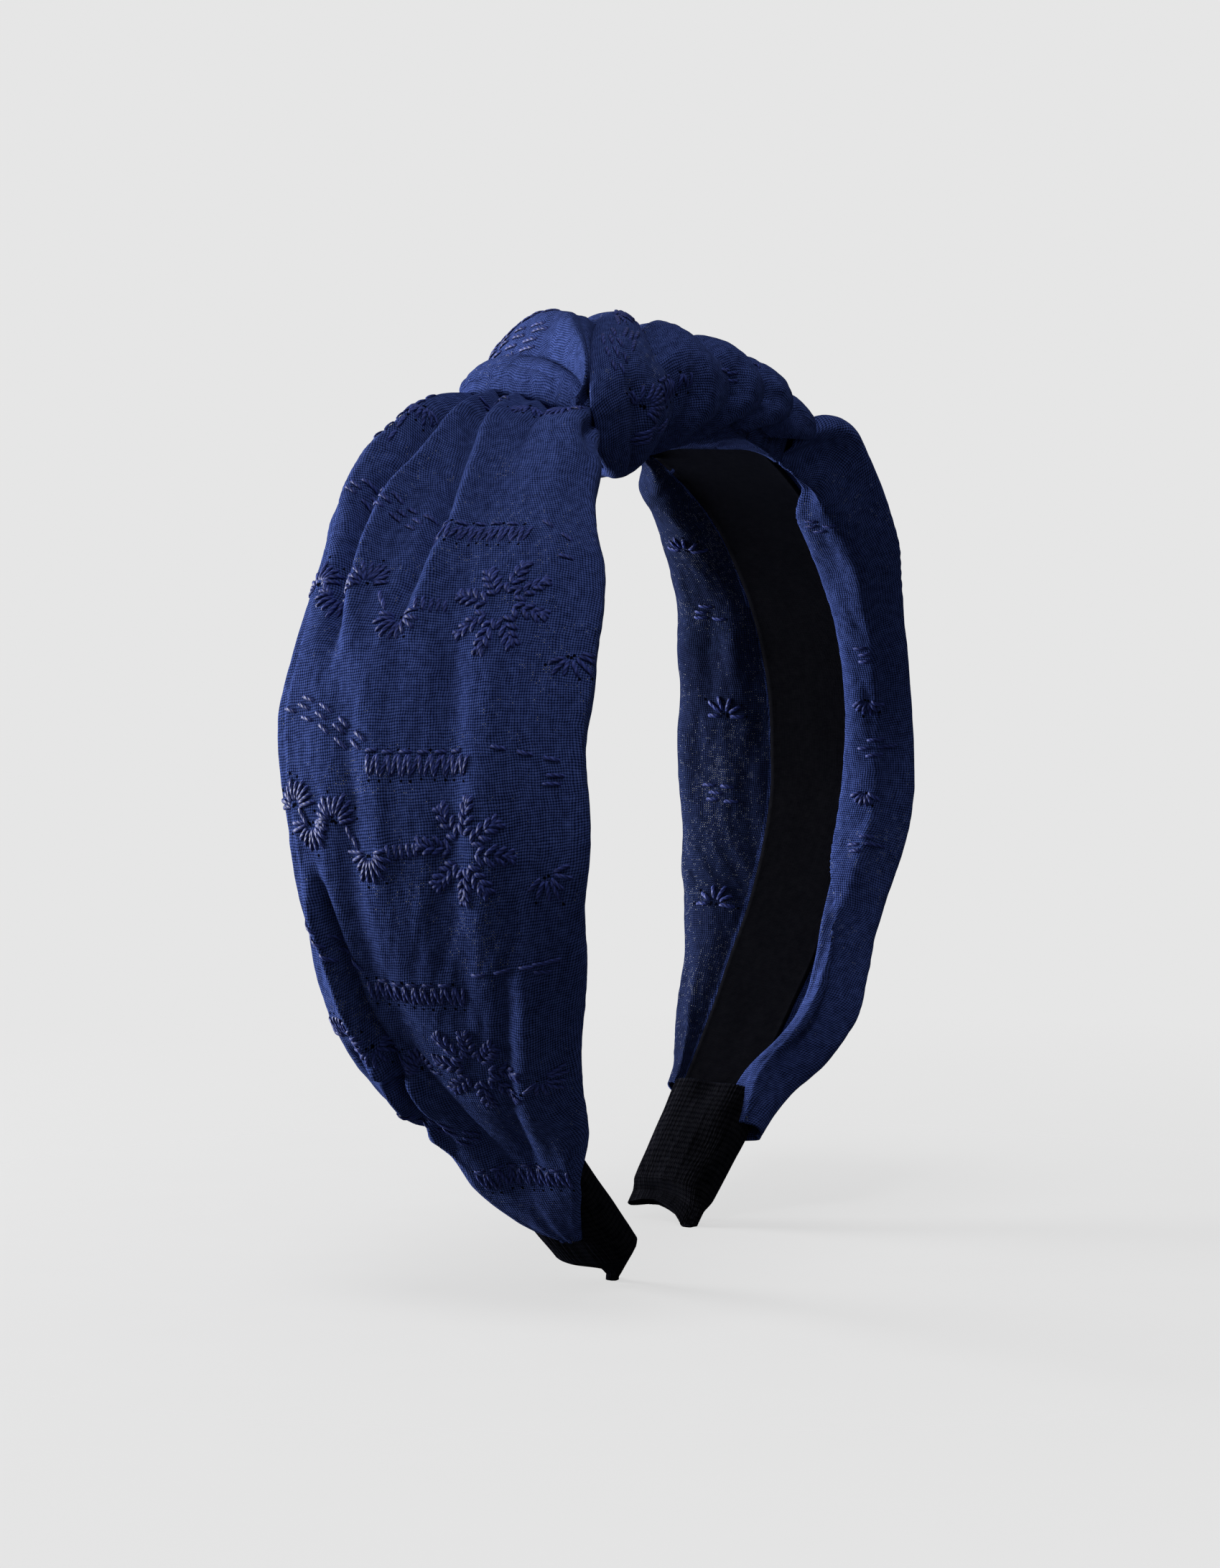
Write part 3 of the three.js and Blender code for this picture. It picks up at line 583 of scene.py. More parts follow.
def loop(name, node, rows, start, end, pleats, nu, nv, seed, end_depth=(3.2, 3.2), extra=None, round_=(3.2, 3.2)):
    u = np.linspace(0, 1, nu)[:, None]
    f = np.linspace(-0.03, 1.03, nv)[None, :]
    ang = -np.pi / 2 - 2 * np.pi * f
    c, z = np.cos(ang), np.sin(ang)
    H, F, B, U = (spline(u, rows[:, 0], rows[:, k]) for k in (1, 2, 3, 4))
    ec, ez = np.sign(c) * np.abs(c) ** 0.82, np.sign(z) * np.abs(z) ** 0.82
    w = (F + B) / 2 + ec * (B - F) / 2
    n = (H + U) / 2 + ez * (H - U) / 2
    s = start(w) + (end(w) - start(w)) * u
    span = np.abs(end(w) - start(w)) + 0 * u
    dw, dn = np.gradient(w, axis=1), np.gradient(n, axis=1)
    L = np.maximum(np.hypot(dw, dn), 1e-6)
    nw, nn = -dn / L, dw / L
    d = pleats(u, f, w, n, s)
    lo, hi = np.clip(u * span / round_[0], 0, 1), np.clip((1 - u) * span / round_[1], 0, 1)
    d = d - end_depth[0] * (1 - np.sqrt(1 - (1 - lo) ** 2)) - end_depth[1] * (1 - np.sqrt(1 - (1 - hi) ** 2))
    v = (f - 0.5) * 105
    d = d + 0.22 * noise(v / 7, s / 9, seed) + 0.10 * noise(v / 2.4, s / 3.2, seed + 1) + 0.04 * noise(v / 0.9, s / 1.1, seed + 2)
    over = smooth(np.abs(f - 0.5), 0.485, 0.53) * np.where(f < 0.5, 0.5, -0.3)      # the two ends lap underneath
    d = d + over
    s = s + (extra(u, f, w) if extra else 0)
    w2, n2 = w + nw * d, n + nn * d
    # keep clear of the band and the lining inside
    hb = half_band(0) + 0.5
    inside_top = (np.abs(w2) < hb) & (n > 0)
    n2 = np.where(inside_top, np.maximum(n2, 1.5), n2)
    inside_low = (np.abs(w2) < hb) & (n < 0)
    n2 = np.where(inside_low, np.minimum(n2, -2.3), n2)
    P = at(s, w2, n2)
    N = normals(P)
    mid = P.mean(axis=1, keepdims=True)
    if ((P - mid) * N).sum() < 0:
        flip = True
    else:
        flip = False
    LOOPS[name] = dict(P=P, N=N * (-1 if flip else 1), w=w2, s=s, f=np.broadcast_to(f, w2.shape), u=np.broadcast_to(u, w2.shape))
    d1 = np.linalg.norm(np.diff(P, axis=0), axis=2)
    uu = np.concatenate([np.zeros((1, nv)), np.cumsum(d1, 0)], 0)
    uv = arc_uv(P, uu)
    o = cloth_object(name, P, 0.00045, uv, COTTON, flip=flip)
    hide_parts(node)
    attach(o, "crown")
    return o


def folds(t, edges, amps):
    """Overlapping folds: each rises to a rolled edge and drops onto the next. Height and how far the roll overhangs, 0-1."""
    h, over = np.zeros_like(t), np.zeros_like(t)
    for e0, e1, amp in zip(edges[:-1], edges[1:], amps):
        x = np.clip((t - e0) / (e1 - e0), 0, 1)
        inside = (t >= e0) & (t < e1)
        up = np.sin(np.pi / 2 * np.clip(x / 0.56, 0, 1)) ** 0.85
        down = np.clip(1 - (np.clip(x - 0.56, 0, 1) / 0.44) ** 2, 0, 1) ** 0.62
        h = np.where(inside, amp * up * down, h)
        over = np.where(inside, smooth(x, 0.45, 0.92) * (1 - smooth(x, 0.97, 1.0)), over)
    return h, over


def wrap_t(u, f):
    bow = 0.055 * np.exp(-((f - 0.2) / 0.13) ** 2) - 0.02 * np.exp(-((f - 0.52) / 0.1) ** 2)
    return np.clip(u - bow * np.sin(np.pi * u) * 1.2 + 0.016 * noise(f * 6, 0 * u + 0.5, 5), 0, 0.9999)


WRAP_EDGES, WRAP_AMPS = [-0.09, 0.27, 0.47, 0.64, 0.81, 1.0], [4.3, 4.1, 3.8, 3.4, 2.4]


def wrap_pleats(u, f, w, n, s):
    b, _ = folds(wrap_t(u, f), WRAP_EDGES, WRAP_AMPS)
    low_front = smooth(f, 0.06, 0.14) * (1 - smooth(f, 0.27, 0.36))
    for c, depth, wd in ((0.115, 1.3, 0.022), (0.37, 1.0, 0.02), (0.56, 0.7, 0.02)):
        b = b - depth * low_front * np.exp(-((u - c - 0.05 * (f - 0.2)) / wd) ** 2)
    pinch = np.exp(-((f - 0.22) / 0.07) ** 2) * np.exp(-(u / 0.16) ** 2)
    return b - 3.1 - 1.2 * pinch


def wrap_shift(u, f, w):
    _, o = folds(wrap_t(u, f), WRAP_EDGES, WRAP_AMPS)
    inner = smooth(np.abs(f - 0.5), 0.24, 0.42)         # on the inside of the arch the wrap is shorter
    return 0.35 * o * smooth(f, 0.02, 0.12) * (1 - smooth(f, 0.9, 0.98)) * (1 - smooth(u, 0.93, 1.0)) - 10.5 * inner * u ** 1.6


LOBE_EDGES, LOBE_AMPS = [0.0, 0.13, 0.24, 0.36], [2.2, 2.0, 1.8]


def lobe_t(u, f):
    return np.clip(u + 0.014 * np.sin(2 * np.pi * f * 2) + 0.012 * noise(f * 9, 0 * u, 8), 0, 0.9999)


def lobe_pleats(u, f, w, n, s):
    t = lobe_t(u, f)
    b, _ = folds(0.24 - np.clip(t, 0, 0.24), [0.0, 0.09, 0.17, 0.2401], LOBE_AMPS)     # these roll towards the leg
    x = np.clip((t - 0.24) / 0.76, 0, 1)
    pillow = 2.5 * np.sqrt(np.clip(1 - (1 - np.clip(x / 0.55, 0, 1)) ** 2, 0, 1))
    dent = 0.5 * np.exp(-((x - 0.62) / 0.09) ** 2) * smooth(f, 0.3, 0.42) * (1 - smooth(f, 0.52, 0.62))
    squeeze = smooth(f, 0.14, 0.24) * (1 - smooth(f, 0.27, 0.40))
    return np.where(t < 0.24, b - 2.0, pillow - 1.5 - dent) - 1.6 * squeeze * smooth(u, 0.0, 0.5)


def lobe_shift(u, f, w):
    t = lobe_t(u, f)
    _, o = folds(0.24 - np.clip(t, 0, 0.24), [0.0, 0.09, 0.17, 0.2401], LOBE_AMPS)
    return -1.1 * o * (t < 0.24)


NU, NF = ((200, 260))
lobe = loop("knot_lobe", "knot_loop_left", LEFT_LOOP, roll_edge, lambda w: seam(w) + 0.3, lobe_pleats, NU, NF, 21, (2.2, 2.8), lobe_shift, (3.2, 10.0))
wrap = loop("knot_wrap", "knot_loop_right", RIGHT_LOOP, lambda w: seam(w) - 0.3, lambda w: 37.0 + 0 * w, wrap_pleats, NU, NF, 31, (0.9, 3.2), wrap_shift, (2.6, 3.2))

a = np.linspace(121, 162.5, 90)[:, None]
j = np.linspace(0, 1, 34)[None, :]
w = -half_band(a) - 2.3 * smooth(a, 121, 126) * (1 - smooth(a, 158, 162.5)) + 0.25 * noise(a / 3, 0 * a, 44) + j * 10.2
n = -1.17 - 1.5 * (1 - smooth(j, 0.0, 0.26)) * (0.7 + 0.5 * noise(a / 6, 0 * a, 45))
P = at(a, w, n)
o = cloth_object("seam_edge_right", P, 0.00036, arc_uv(P, (a / 1000)[:, 0]), COTTON)
bend(o)

# ---- lining ribbons -----------------------------------------------------------------
for side, label in ((-1, "left"), (1, "right")):
    a = np.linspace(0, 179.6, 420)[:, None]
    j = np.linspace(-1, 1, 25)[None, :]
    hw = half_band(a) - 0.75 + 0.14 * noise(a / 9, 0 * a, 50 + side)
    w = j * hw + 0.15 * noise(a / 14, 0 * a + 4, 60 + side)
    n = -1.60 - 0.05 * noise(a / 5, j * 2, 70 + side) - 0.10 * smooth(np.abs(j), 0.88, 1.0)
    P = at(side * a, w, n)
    uv = arc_uv(P, (a / 1000)[:, 0])
    o = cloth_object(f"lining_{label}", P, 0.00034, uv, LINING, flip=side > 0)
    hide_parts(f"lining_ribbon_{label}", *(["lining_ribbon_crown"] if side < 0 else []))
    bend(o)

# ---- tip caps: ribbed ribbon folded round the end of the band and pinched past it ------
for side, label in ((-1, "left"), (1, "right")):
    m = 240
    a = np.concatenate([np.linspace(161.5, 180, 60), np.linspace(180.3, 190, 50)])[:, None]
    th = np.linspace(-0.02, 1.02, m)[None, :] * 2 * np.pi - np.pi / 2
    pinch = smooth(a, 180.8, 185.2)
    hw = half_band(a) + 0.55 + 0.15 * np.sin((a - 161) / 5)
    ht = 2.45 + 0.35 * np.sin(np.pi * np.clip((a - 161) / 22, 0, 1)) - 1.85 * pinch
    c, z = np.cos(th), np.sin(th)
    ec, ez = np.sign(c) * np.abs(c) ** 0.55, np.sign(z) * np.abs(z) ** 0.62
    rib = 0.11 * np.abs(np.sin(th * 34))
    w = ec * (hw + rib)
    n = -0.5 + ez * (ht + rib * (1 - 0.4 * pinch)) + 0.25 * noise(w / 4, a / 6, 80 + side) * (1 - pinch)
    if side < 0:        # past the band the ribbon is pinched and trimmed to a hooked point
        f_ = np.interp(a, [180.5, 181.5, 183, 184.5, 186, 187.5, 190], [-7, -6.3, -4.7, -3.1, -1.5, 0.2, 1.6])
        b_ = np.interp(a, [180.5, 181.5, 183, 184.5, 186, 187.5, 190], [7, 6.0, 3.8, 1.2, 0.9, 1.9, 3.3])
        mid_, half_ = (f_ + b_) / 2, (b_ - f_) / 2
        past = smooth(a, 180.0, 181.2)
        w = w * (1 - past) + (mid_ + half_ * w / np.maximum(hw, 1)) * past
        s = a + 0 * w
    else:               # cut like a fishtail, longest at its front corner
        end = np.interp(w, [-7, -5.5, -4, -2, 0, 2, 4, 7], [188.6, 188.2, 186.6, 184.9, 184.0, 183.5, 183.7, 184.6])
        s = np.where(a > 180.2, 180.2 + (a - 180.2) / 9.8 * (end - 180.2), a + 0 * w)
    P = at(side * s, w, n)
    P[..., 2] = np.maximum(P[..., 2], 0.00006)
    uv = arc_uv(P, (a / 1000)[:, 0])
    mid = P.mean(axis=1, keepdims=True)
    flip = ((P - mid) * normals(P)).sum() < 0
    o = cloth_object(f"cap_{label}", P, 0.0004, uv, GROS, flip=bool(flip))
    zz = np.array([v.co.z for v in o.data.vertices])
    for v in o.data.vertices:
        if v.co.z < 0:
            v.co.z = 0
    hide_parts(f"tip_cap_{label}")
    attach(o, f"{label}_leg")

# ---- embroidery: real threads laid on the cloth ----------------------------------------
rng = np.random.default_rng(7)


def on_leg(side, a, w, face="outer"):
    """Point and outward normal of a leg's cloth at (a, w), on its outer panel or on the inside of its front or back margin."""
    S = SHEETS[side]
    a0, da = S["a"][0], S["a"][1] - S["a"][0]
    fi = np.clip((a - a0) / da, 0, len(S["a"]) - 1.001)
    i = int(fi)
    t = fi - i
    out = []
    for r in (i, i + 1):
        row = S["w"][r]
        lo, hi = int(np.argmin(row)), int(np.argmax(row))
        if face == "outer":
            js = np.arange(lo, hi + 1)
        elif face == "front":
            js = np.arange(lo, -1, -1)
        else:
            js = np.arange(hi, S["m"])[::-1]
        ws = np.maximum.accumulate(row[js])
        out.append(float(np.interp(w, ws + np.arange(len(ws)) * 1e-7, js)))
    P, N = S["P"], S["N"]
    res = []
    for G in (P, N):
        v = []
        for r, fj in zip((i, i + 1), out):
            fj = min(max(fj, 0), S["m"] - 1.001)
            j = int(fj)
            x = fj - j
            v.append(G[r, j] * (1 - x) + G[r, j + 1] * x)
        res.append(v[0] * (1 - t) + v[1] * t)
    return res[0], res[1] / np.linalg.norm(res[1])


def on_loop(name, u, f):
    S = LOOPS[name]
    nu, nv = S["P"].shape[:2]
    fi = min(max(u, 0), 1) * (nu - 1.001)
    fj = min(max((f + 0.03) / 1.06, 0), 1) * (nv - 1.001)
    i, j = int(fi), int(fj)
    x, y = fi - i, fj - j
    out = []
    for G in (S["P"], S["N"]):
        out.append((G[i, j] * (1 - y) + G[i, j + 1] * y) * (1 - x) + (G[i + 1, j] * (1 - y) + G[i + 1, j + 1] * y) * x)
    return out[0], out[1] / np.linalg.norm(out[1])


class Stitches:
    SIDES = 7

    def __init__(self):
        self.v, self.f, self.uv, self.count, self.holes = [], [], [], 0, []

    def add(self, surf, p, q, radius=0.27, rise=0.24, steps=7, bow=0.0, hole=False):
        """One stitch on the surface from p to q: it comes out of the cloth, lies on it and goes back in."""
        p, q = np.array(p, float), np.array(q, float)
        if hole:
            for x in (p - (q - p) * 0.10, q + (q - p) * 0.10):
                self.holes.append(surf(*x))
        side = np.array([-(q - p)[1], (q - p)[0]])
        pts, nor = [], []
        for t in np.linspace(0, 1, steps):
            x = p + (q - p) * t + side * bow * math.sin(math.pi * t)
            P, N = surf(*x)
            lift = rise * math.sin(math.pi * t) ** 0.6 + 0.17 - 0.30 * (abs(2 * t - 1) > 0.99)
            pts.append(P + N * lift / 1000)
            nor.append(N)
        pts, nor = np.array(pts), np.array(nor)
        tan = np.gradient(pts, axis=0)
        length = np.linalg.norm(np.diff(pts, axis=0), axis=1).sum()
        if length < 0.0006 or length > 0.02:
            return
        tan /= np.maximum(np.linalg.norm(tan, axis=1), 1e-12)[:, None]
        b = np.cross(tan, nor)
        b /= np.maximum(np.linalg.norm(b, axis=1), 1e-12)[:, None]
        nn = np.cross(b, tan)
        base = self.count
        ang = np.arange(self.SIDES) / self.SIDES * 2 * np.pi
        shift = rng.random() * 7
        for k in range(steps):
            t = k / (steps - 1)
            r = radius / 1000 * (0.5 + 0.5 * math.sin(math.pi * min(max(t, 0.06), 0.94)) ** 0.5)
            ring = pts[k] + r * (np.cos(ang)[:, None] * b[k] * 1.2 + np.sin(ang)[:, None] * nn[k] * 0.6)
            self.v.append(ring)
            self.uv.append(np.stack([ang / (2 * np.pi), np.full(self.SIDES, t * length + shift)], 1))
        n = self.SIDES
        for k in range(steps - 1):
            for i in range(n):
                a, c = base + k * n + i, base + k * n + (i + 1) % n
                self.f.append((a, c, c + n, a + n))
        self.f.append(tuple(base + i for i in range(n))[::-1])
        self.f.append(tuple(base + (steps - 1) * n + i for i in range(n)))
        self.count += steps * n

    def build(self, name):
        o = mesh_object(name, np.concatenate(self.v), self.f, np.concatenate(self.uv), THREAD)
        return o

    def pierced(self, name):
        """The needle's holes: small dark openings at the stitches' ends."""
        ang = np.arange(8) / 8 * 2 * np.pi
        verts, faces = [], []
        for i, (P, N) in enumerate(self.holes):
            e1 = np.cross(N, [0.3, 0.2, 0.93])
            e1 /= np.linalg.norm(e1)
            e2 = np.cross(N, e1)
            r = 0.00020 + 0.00006 * rng.random()
            verts.append(P + N * 0.00024 + r * (np.cos(ang)[:, None] * e1 + np.sin(ang)[:, None] * e2))
            faces.append(tuple(range(8 * i, 8 * i + 8)))
        o = mesh_object(name, np.concatenate(verts), faces, None, HOLE, False)
        return o


def along(poly, step):
    poly = np.array(poly, float)
    d = np.concatenate([[0], np.cumsum(np.linalg.norm(np.diff(poly, axis=0), axis=1))])
    x = np.arange(0, d[-1], step)
    return np.stack([np.interp(x, d, poly[:, 0]), np.interp(x, d, poly[:, 1])], 1), d[-1]


def jig(x, k):
    return np.asarray(x, float) + (rng.random(2) - 0.5) * k


def running(st, surf, poly, lines=3, gap=1.15, stitch=3.0, space=0.7):
    pts, total = along(poly, 0.25)
    if len(pts) < 8:
        return
    tan = np.gradient(pts, axis=0)
    tan /= np.linalg.norm(tan, axis=1)[:, None]
    side = np.stack([-tan[:, 1], tan[:, 0]], 1)
    n = int(stitch / 0.25)
    g = int((stitch + space) / 0.25)
    for k in range(lines):
        off = (k - (lines - 1) / 2) * gap
        i = int(rng.integers(0, g))
        while i + n < len(pts):
            p, q = pts[i] + side[i] * off, pts[i + n] + side[i + n] * off
            st.add(surf, jig(p, 0.3), jig(q, 0.3), radius=0.26)
            i += g


def ladder(st, surf, p, q, teeth=10, height=3.3):
    p, q = np.array(p, float), np.array(q, float)
    d = (q - p) / teeth
    up = np.array([-d[1], d[0]]) / np.linalg.norm(d) * height
    if up[0] < 0:
        up = -up
    for k in range(teeth):
        a = p + d * k
        st.add(surf, jig(a, 0.25), jig(a + up + d * 0.35, 0.4), radius=0.30, hole=True)
        st.add(surf, jig(a + up + d * 0.45, 0.4), jig(a + d * 0.95, 0.25), radius=0.26)
    st_line = [p - d * 0.3 - up * 0.06, q - up * 0.06]
    running(st, surf, st_line, 1, 1, 2.4, 0.5)


def fan(st, surf, c, r0, r1, a0, a1, n):
    for t in np.linspace(a0, a1, n):
        x = math.radians(t)
        d = np.array([math.cos(x), math.sin(x)])
        st.add(surf, jig(np.array(c) + d * r0, 0.3), jig(np.array(c) + d * r1 * (0.9 + 0.2 * rng.random()), 0.4), radius=0.29, hole=rng.random() < 0.35)


def flower(st, surf, c, r=7.4, petals=8, turn=0):
    """Petals of short satin stitches that lean off each petal's own line."""
    for k in range(petals):
        mid = turn + 360 / petals * k + rng.random() * 8 - 4
        x = math.radians(mid)
        axis = np.array([math.cos(x), math.sin(x)])
        long = r * (0.86 + 0.22 * rng.random())
        for t in np.linspace(0.30, 0.84, 4):
            base = np.array(c) + axis * long * t
            for lean in (-1, 1):
                y = x + math.radians(lean * (48 - 16 * t))
                d = np.array([math.cos(y), math.sin(y)])
                st.add(surf, jig(base - d * 0.15, 0.25), jig(base + d * (1.25 + 0.9 * math.sin(math.pi * t)), 0.35), radius=0.33)
        st.add(surf, jig(np.array(c) + axis * long * 0.72, 0.2), jig(np.array(c) + axis * long * 1.04, 0.3), radius=0.33)


st = Stitches()
L = lambda a, w: on_leg(-1, a, w)
Lf = lambda a, w: on_leg(-1, a, w, "front")
Lb = lambda a, w: on_leg(-1, a, w, "back")
# rows of lines and ladders across the near leg
rows = [
    ([(46.5, 18), (52, 7.5), (57.5, -3)], (57.5, -3.5), (57, -20), [(58, -21), (60, -26), (62, -30)]),
    ([(82.5, 15), (86, 6.5), (91.5, -1.5)], (91.5, -2), (92.5, -19), [(93, -20), (94.5, -25), (96, -34)]),
    ([(113.5, 15), (117.5, 9.5), (122, 6.5)], (122, 6), (123.5, -11), [(122.5, -12), (120.5, -17.5), (122.5, -28)]),
]
for lines, l0, l1, rest in rows:
    running(st, L, lines, 3, 1.25, 3.4, 0.6)
    ladder(st, L, l0, l1, 10, 3.3)
    running(st, L, [(l1[0] - 1.6, l1[1]), (rest[-1][0] - 1.0, rest[-1][1])], 1, 1, 3.2, 0.8)
    running(st, L, [(rest[-1][0], rest[-1][1] + 5.5), (rest[-1][0] + 0.6, rest[-1][1] + 0.6)], 3, 1.3, 3.0, 0.5)
ladder(st, L, (159.5, 8), (159.5, -9), 9, 3.6)
running(st, L, [(146, 14.5), (150, 8), (154, 3)], 3, 1.2, 3.0, 0.6)


DOWN, UP = (-95, 95), (95, 265)


def fan_row(pts, flo, tail):
    """A scalloped row: fans that open by turns downwards and upwards, and a flower."""
    for (a, w), way in pts:
        off = -1.6 if way is DOWN else 1.6
        fan(st, L, (a + off, w), 0.7, 4.1, *way, 10)
    for (p, q) in zip(pts[:-1], pts[1:]):
        m0, m1 = np.array(p[0], float), np.array(q[0], float)
        for x in (0.42, 0.58):
            c = m0 + (m1 - m0) * x
            st.add(L, jig(c + [-1.0, 0.5], 0.3), jig(c + [1.2, -0.6], 0.3), radius=0.29)
    flower(st, L, flo, 7.4, 8, 12)
    for a, w in tail:
        fan(st, L, (a - 1.0, w), 0.8, 4.0, -100, 60, 7)


fan_row([((64.5, 13.6), UP), ((69, 9.3), DOWN), ((66, 3.4), UP), ((74.0, -3.6), DOWN)], (71.5, -20), [(79.5, -32.0)])
for w0 in np.arange(-6.5, -12, -1.1):
    st.add(L, jig((70.2, w0), 0.2), jig((72.4, w0 - 0.4), 0.3), radius=0.28)
fan_row([((96, 12.2), UP), ((101.5, 9.2), DOWN), ((98.5, 4.6), UP), ((106.0, -1.2), DOWN)], (105.5, -17.0), [(110.5, -29.0)])
for w0 in np.arange(-4.5, -9.5, -1.1):
    st.add(L, jig((103.4, w0), 0.2), jig((105.6, w0 - 0.4), 0.3), radius=0.28)
fan_row([((130, 15.0), UP), ((134, 10.6), DOWN), ((136.5, 4.6), UP)], (137, -6.5), [(140.5, -16.0)])
fan(st, L, (27, -10), 0.6, 4.0, -80, 80, 9)
fan(st, L, (26, -3), 0.6, 3.6, -70, 60, 8)
fan(st, L, (24, 4), 0.6, 3.4, -60, 60, 7)
fan(st, L, (30, 13), 0.6, 4.0, -60, 60, 8)
running(st, L, [(24, 16.5), (34, 14.5), (40, 15)], 3, 1.2, 2.8, 0.4)
# the same cloth seen on the margins inside the leg
for a0 in (58, 92, 123):
    running(st, Lf, [(a0 + 1, -16), (a0 + 2, -24)], 3, 1.3, 3.0, 0.6)
    running(st, Lb, [(a0 - 2, 12.5), (a0 - 2, 15.5)], 2, 1.3, 2.2, 0.6)
flower(st, Lf, (77, -24), 6.5, 7)
flower(st, Lf, (108, -23), 6.5, 7)
o = st.build("embroidery_left")
bend(o)
bend(st.pierced("holes_left"))

st = Stitches()
R = lambda a, w: on_leg(1, a, w)
Rf = lambda a, w: on_leg(1, a, w, "front")
Rb = lambda a, w: on_leg(1, a, w, "back")
for a0 in (49.5, 79, 96.5, 114.5):
    running(st, Rf, [(a0, -15.5), (a0 + 0.5, -12), (a0 + 1, -8.5)], 3, 1.3, 2.8, 0.5)
for a0 in (66, 100, 134):
    running(st, R, [(a0, 24 if a0 < 110 else 16), (a0 + 4, 8), (a0 + 7, 0)], 3, 1.25, 3.4, 0.6)
    ladder(st, R, (a0 + 7, 0), (a0 + 8, -12), 7, 4.0)
flower(st, R, (84, 10), 7.4, 8)
flower(st, R, (117, 9), 7.4, 8)
flower(st, R, (148, 2), 6.0, 7)
flower(st, R, (58, 8), 7.0, 8)
for a0 in (60, 94, 128):
    fan(st, Rb, (a0, 17 if a0 < 110 else 14), 0.8, 3.8, 90, 270, 6)
    running(st, Rb, [(a0 + 14, 14), (a0 + 14, 22 if a0 < 110 else 17)], 3, 1.3, 3.0, 0.6)
fan(st, Rf, (88, -11), 0.6, 3.2, -60, 60, 6)
fan(st, Rf, (105, -11), 0.6, 3.2, -60, 60, 6)
o = st.build("embroidery_right")
bend(o)
bend(st.pierced("holes_right"))

# the knot's own stitches: (u, f) scaled so that a unit is about a millimetre
st = Stitches()
LS, LF_ = 22.0, 108.0
K1 = lambda x, y: on_loop("knot_lobe", x / LS, y / LF_)
RS = 44.0
K2 = lambda x, y: on_loop("knot_wrap", x / RS, y / LF_)
running(st, K1, [(6.0, 74), (6.6, 66), (7.5, 58), (9, 52)], 4, 1.0, 4.2, 0.3)
running(st, K1, [(8.0, 76), (10.5, 66), (14, 58), (18, 54)], 3, 1.1, 4.0, 0.3)
fan(st, K2, (5, 50), 0.6, 4.2, -90, 90, 9)
fan(st, K2, (9, 54), 0.6, 4.0, -120, 40, 9)
running(st, K2, [(2.6, 46), (3.4, 40), (4.4, 34)], 3, 1.0, 3.0, 0.3)
running(st, K2, [(8.0, 45), (5.0, 38)], 3, 1.1, 3.4, 0.3)
fan(st, K2, (6, 27), 0.6, 4.0, -60, 120, 10)
running(st, K2, [(3, 20), (7, 22), (11, 23)], 3, 1.0, 3.0, 0.4)
ladder(st, K2, (9, 30), (16, 31), 6, 4.0)
running(st, K2, [(17, 31), (27, 30)], 4, 1.3, 4.2, 0.4)
running(st, K2, [(27, 47), (30, 40), (31, 34)], 2, 1.2, 3.0, 0.5)
flower(st, K2, (24, 62), 6.0, 7)
running(st, K2, [(8, 62), (10, 72), (12, 80)], 3, 1.2, 3.2, 0.5)
o = st.build("embroidery_knot")
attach(o, "crown")
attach(st.pierced("holes_knot"), "crown")

# ---- light, floor -------------------------------------------------------------------
world = bpy.data.worlds.new("studio")
bpy.context.scene.world = world
world.use_nodes = True
wt = world.node_tree
wt.nodes.clear()
out = wt.nodes.new("ShaderNodeOutputWorld")
seen = wt.nodes.new("ShaderNodeBackground")
seen.inputs[0].default_value = (0.791, 0.791, 0.791, 1)
lit = wt.nodes.new("ShaderNodeBackground")
co = wt.nodes.new("ShaderNodeTexCoord")
sep = wt.nodes.new("ShaderNodeSeparateXYZ")
ramp = wt.nodes.new("ShaderNodeValToRGB")
ramp.color_ramp.elements[0].position = 0.35
ramp.color_ramp.elements[0].color = (0.03, 0.03, 0.032, 1)
ramp.color_ramp.elements[1].position = 0.85
ramp.color_ramp.elements[1].color = (0.40, 0.40, 0.41, 1)
mp = wt.nodes.new("ShaderNodeMath"); mp.operation = "MULTIPLY_ADD"
mp.inputs[1].default_value, mp.inputs[2].default_value = 0.5, 0.5
wt.links.new(co.outputs["Generated"], sep.inputs[0])
wt.links.new(sep.outputs[2], mp.inputs[0])
wt.links.new(mp.outputs[0], ramp.inputs[0])
wt.links.new(ramp.outputs[0], lit.inputs[0])
lit.inputs[1].default_value = 0.75
lp = wt.nodes.new("ShaderNodeLightPath")
mx = wt.nodes.new("ShaderNodeMixShader")
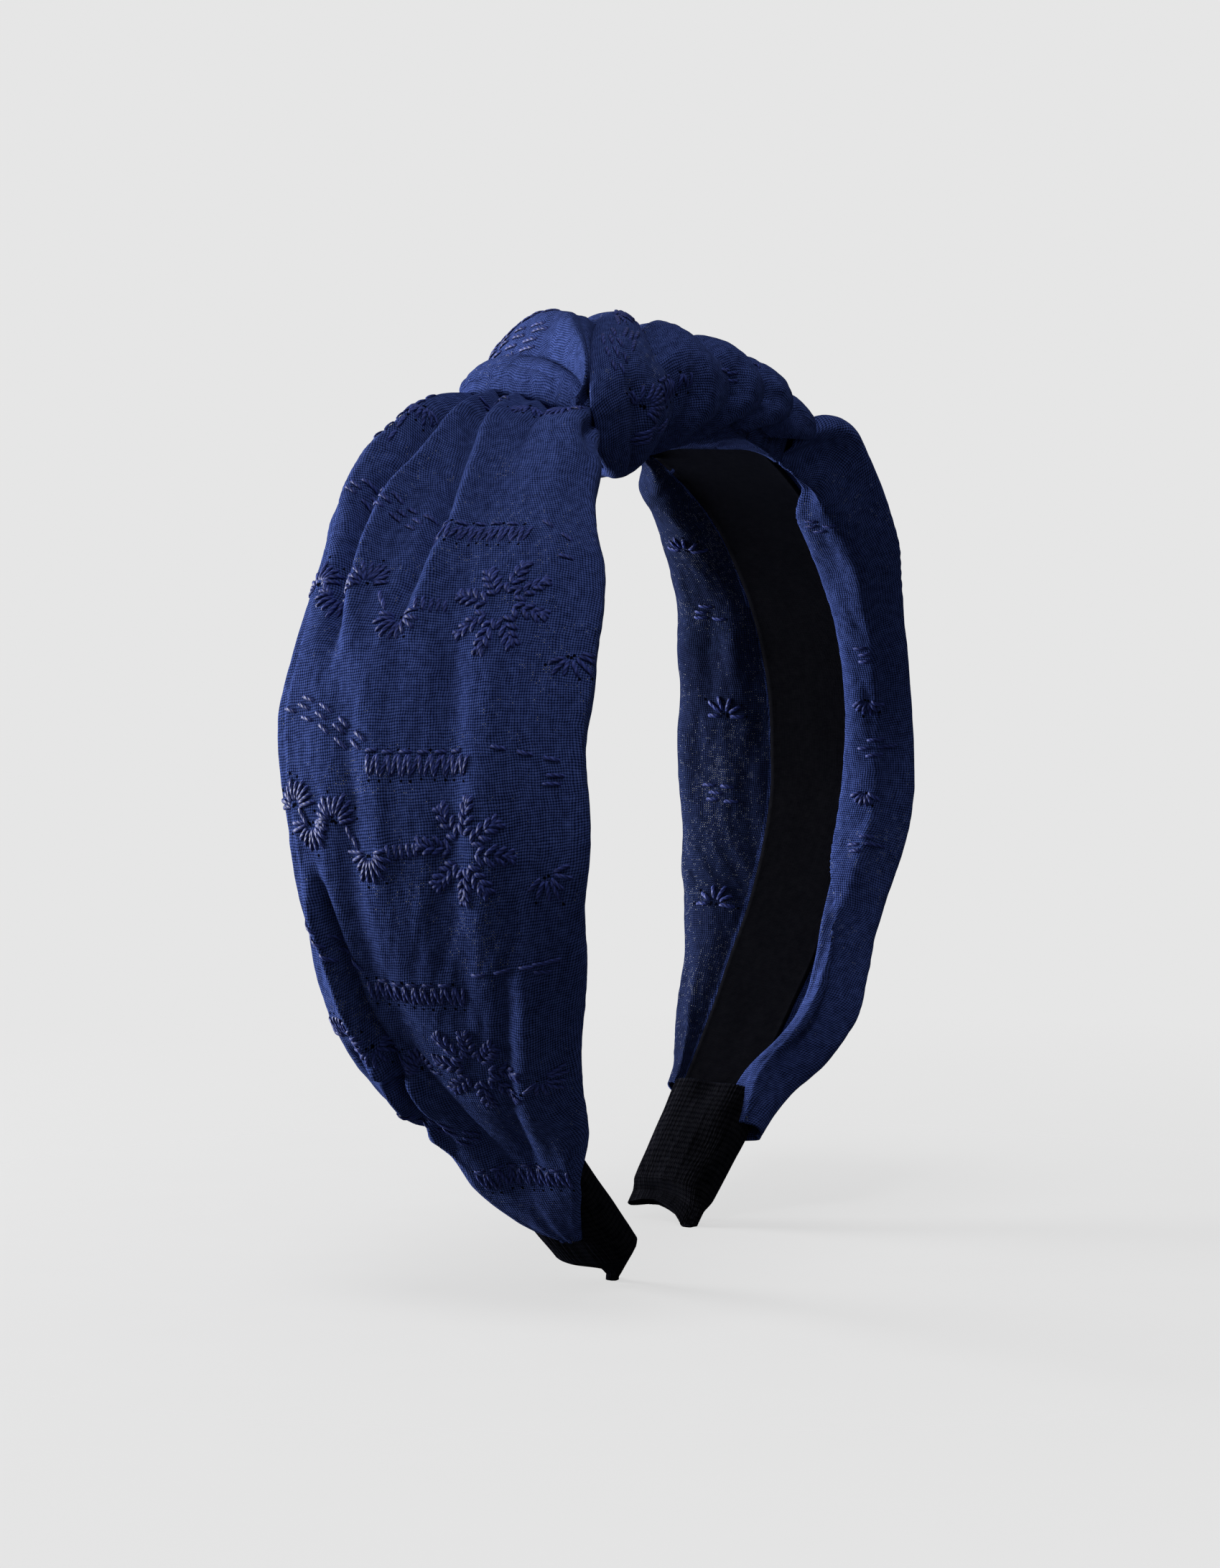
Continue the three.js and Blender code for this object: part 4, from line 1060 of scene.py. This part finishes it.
wt.links.new(lp.outputs["Is Camera Ray"], mx.inputs[0])
wt.links.new(lit.outputs[0], mx.inputs[1])
wt.links.new(seen.outputs[0], mx.inputs[2])
wt.links.new(mx.outputs[0], out.inputs[0])


def area(name, where, size, power):
    d = bpy.data.lights.new(name, "AREA")
    d.shape = "DISK"
    d.size = size
    d.energy = power
    o = bpy.data.objects.new(name, d)
    bpy.context.scene.collection.objects.link(o)
    o.location = where
    o.rotation_mode = "QUATERNION"
    o.rotation_quaternion = (Vector(TARGET) - Vector(where)).to_track_quat("-Z", "Y")
    return o


right = Vector((math.cos(AZIMUTH), math.sin(AZIMUTH), 0))
flat_back = Vector((back.x, back.y, 0)).normalized()
area("key", TARGET - right * 0.80 - flat_back * 0.34 + Vector((0, 0, 0.04)), 0.45, 23.0)
area("top", TARGET - right * 0.15 + flat_back * 0.35 + Vector((0, 0, 1.05)), 0.45, 5.0)
area("fill", TARGET + right * 0.5 + flat_back * 1.1 + Vector((0, 0, 0.35)), 0.9, 0.6)

bpy.ops.mesh.primitive_circle_add(vertices=96, radius=0.5, fill_type="NGON", location=(0, 0, 0))
floor = bpy.context.object
floor.name = "floor"
k = Nodes("floor")
co = k.new("ShaderNodeTexCoord").outputs["Object"]
length = k.new("ShaderNodeVectorMath", operation="LENGTH")
k.link(co, length.inputs[0])
fade = k.ramp(length.outputs["Value"], [(0.06, (1, 1, 1)), (0.30, (0, 0, 0))])
grain = k.noise(co, 60, 3)
k.link(k.ramp(grain, [(0.3, (0.165, 0.165, 0.165)), (0.7, (0.170, 0.170, 0.170))]), k.p.inputs["Base Color"])
k.p.inputs["Emission Color"].default_value = (1, 1, 1, 1)
seen_by_camera = k.new("ShaderNodeLightPath").outputs["Is Camera Ray"]
k.link(k.math("MULTIPLY", seen_by_camera, 0.60), k.p.inputs["Emission Strength"])
k.p.inputs["Roughness"].default_value = 0.9
k.p.inputs["Specular IOR Level"].default_value = 0.0
k.link(fade, k.p.inputs["Alpha"])
floor.data.materials.append(k.m)
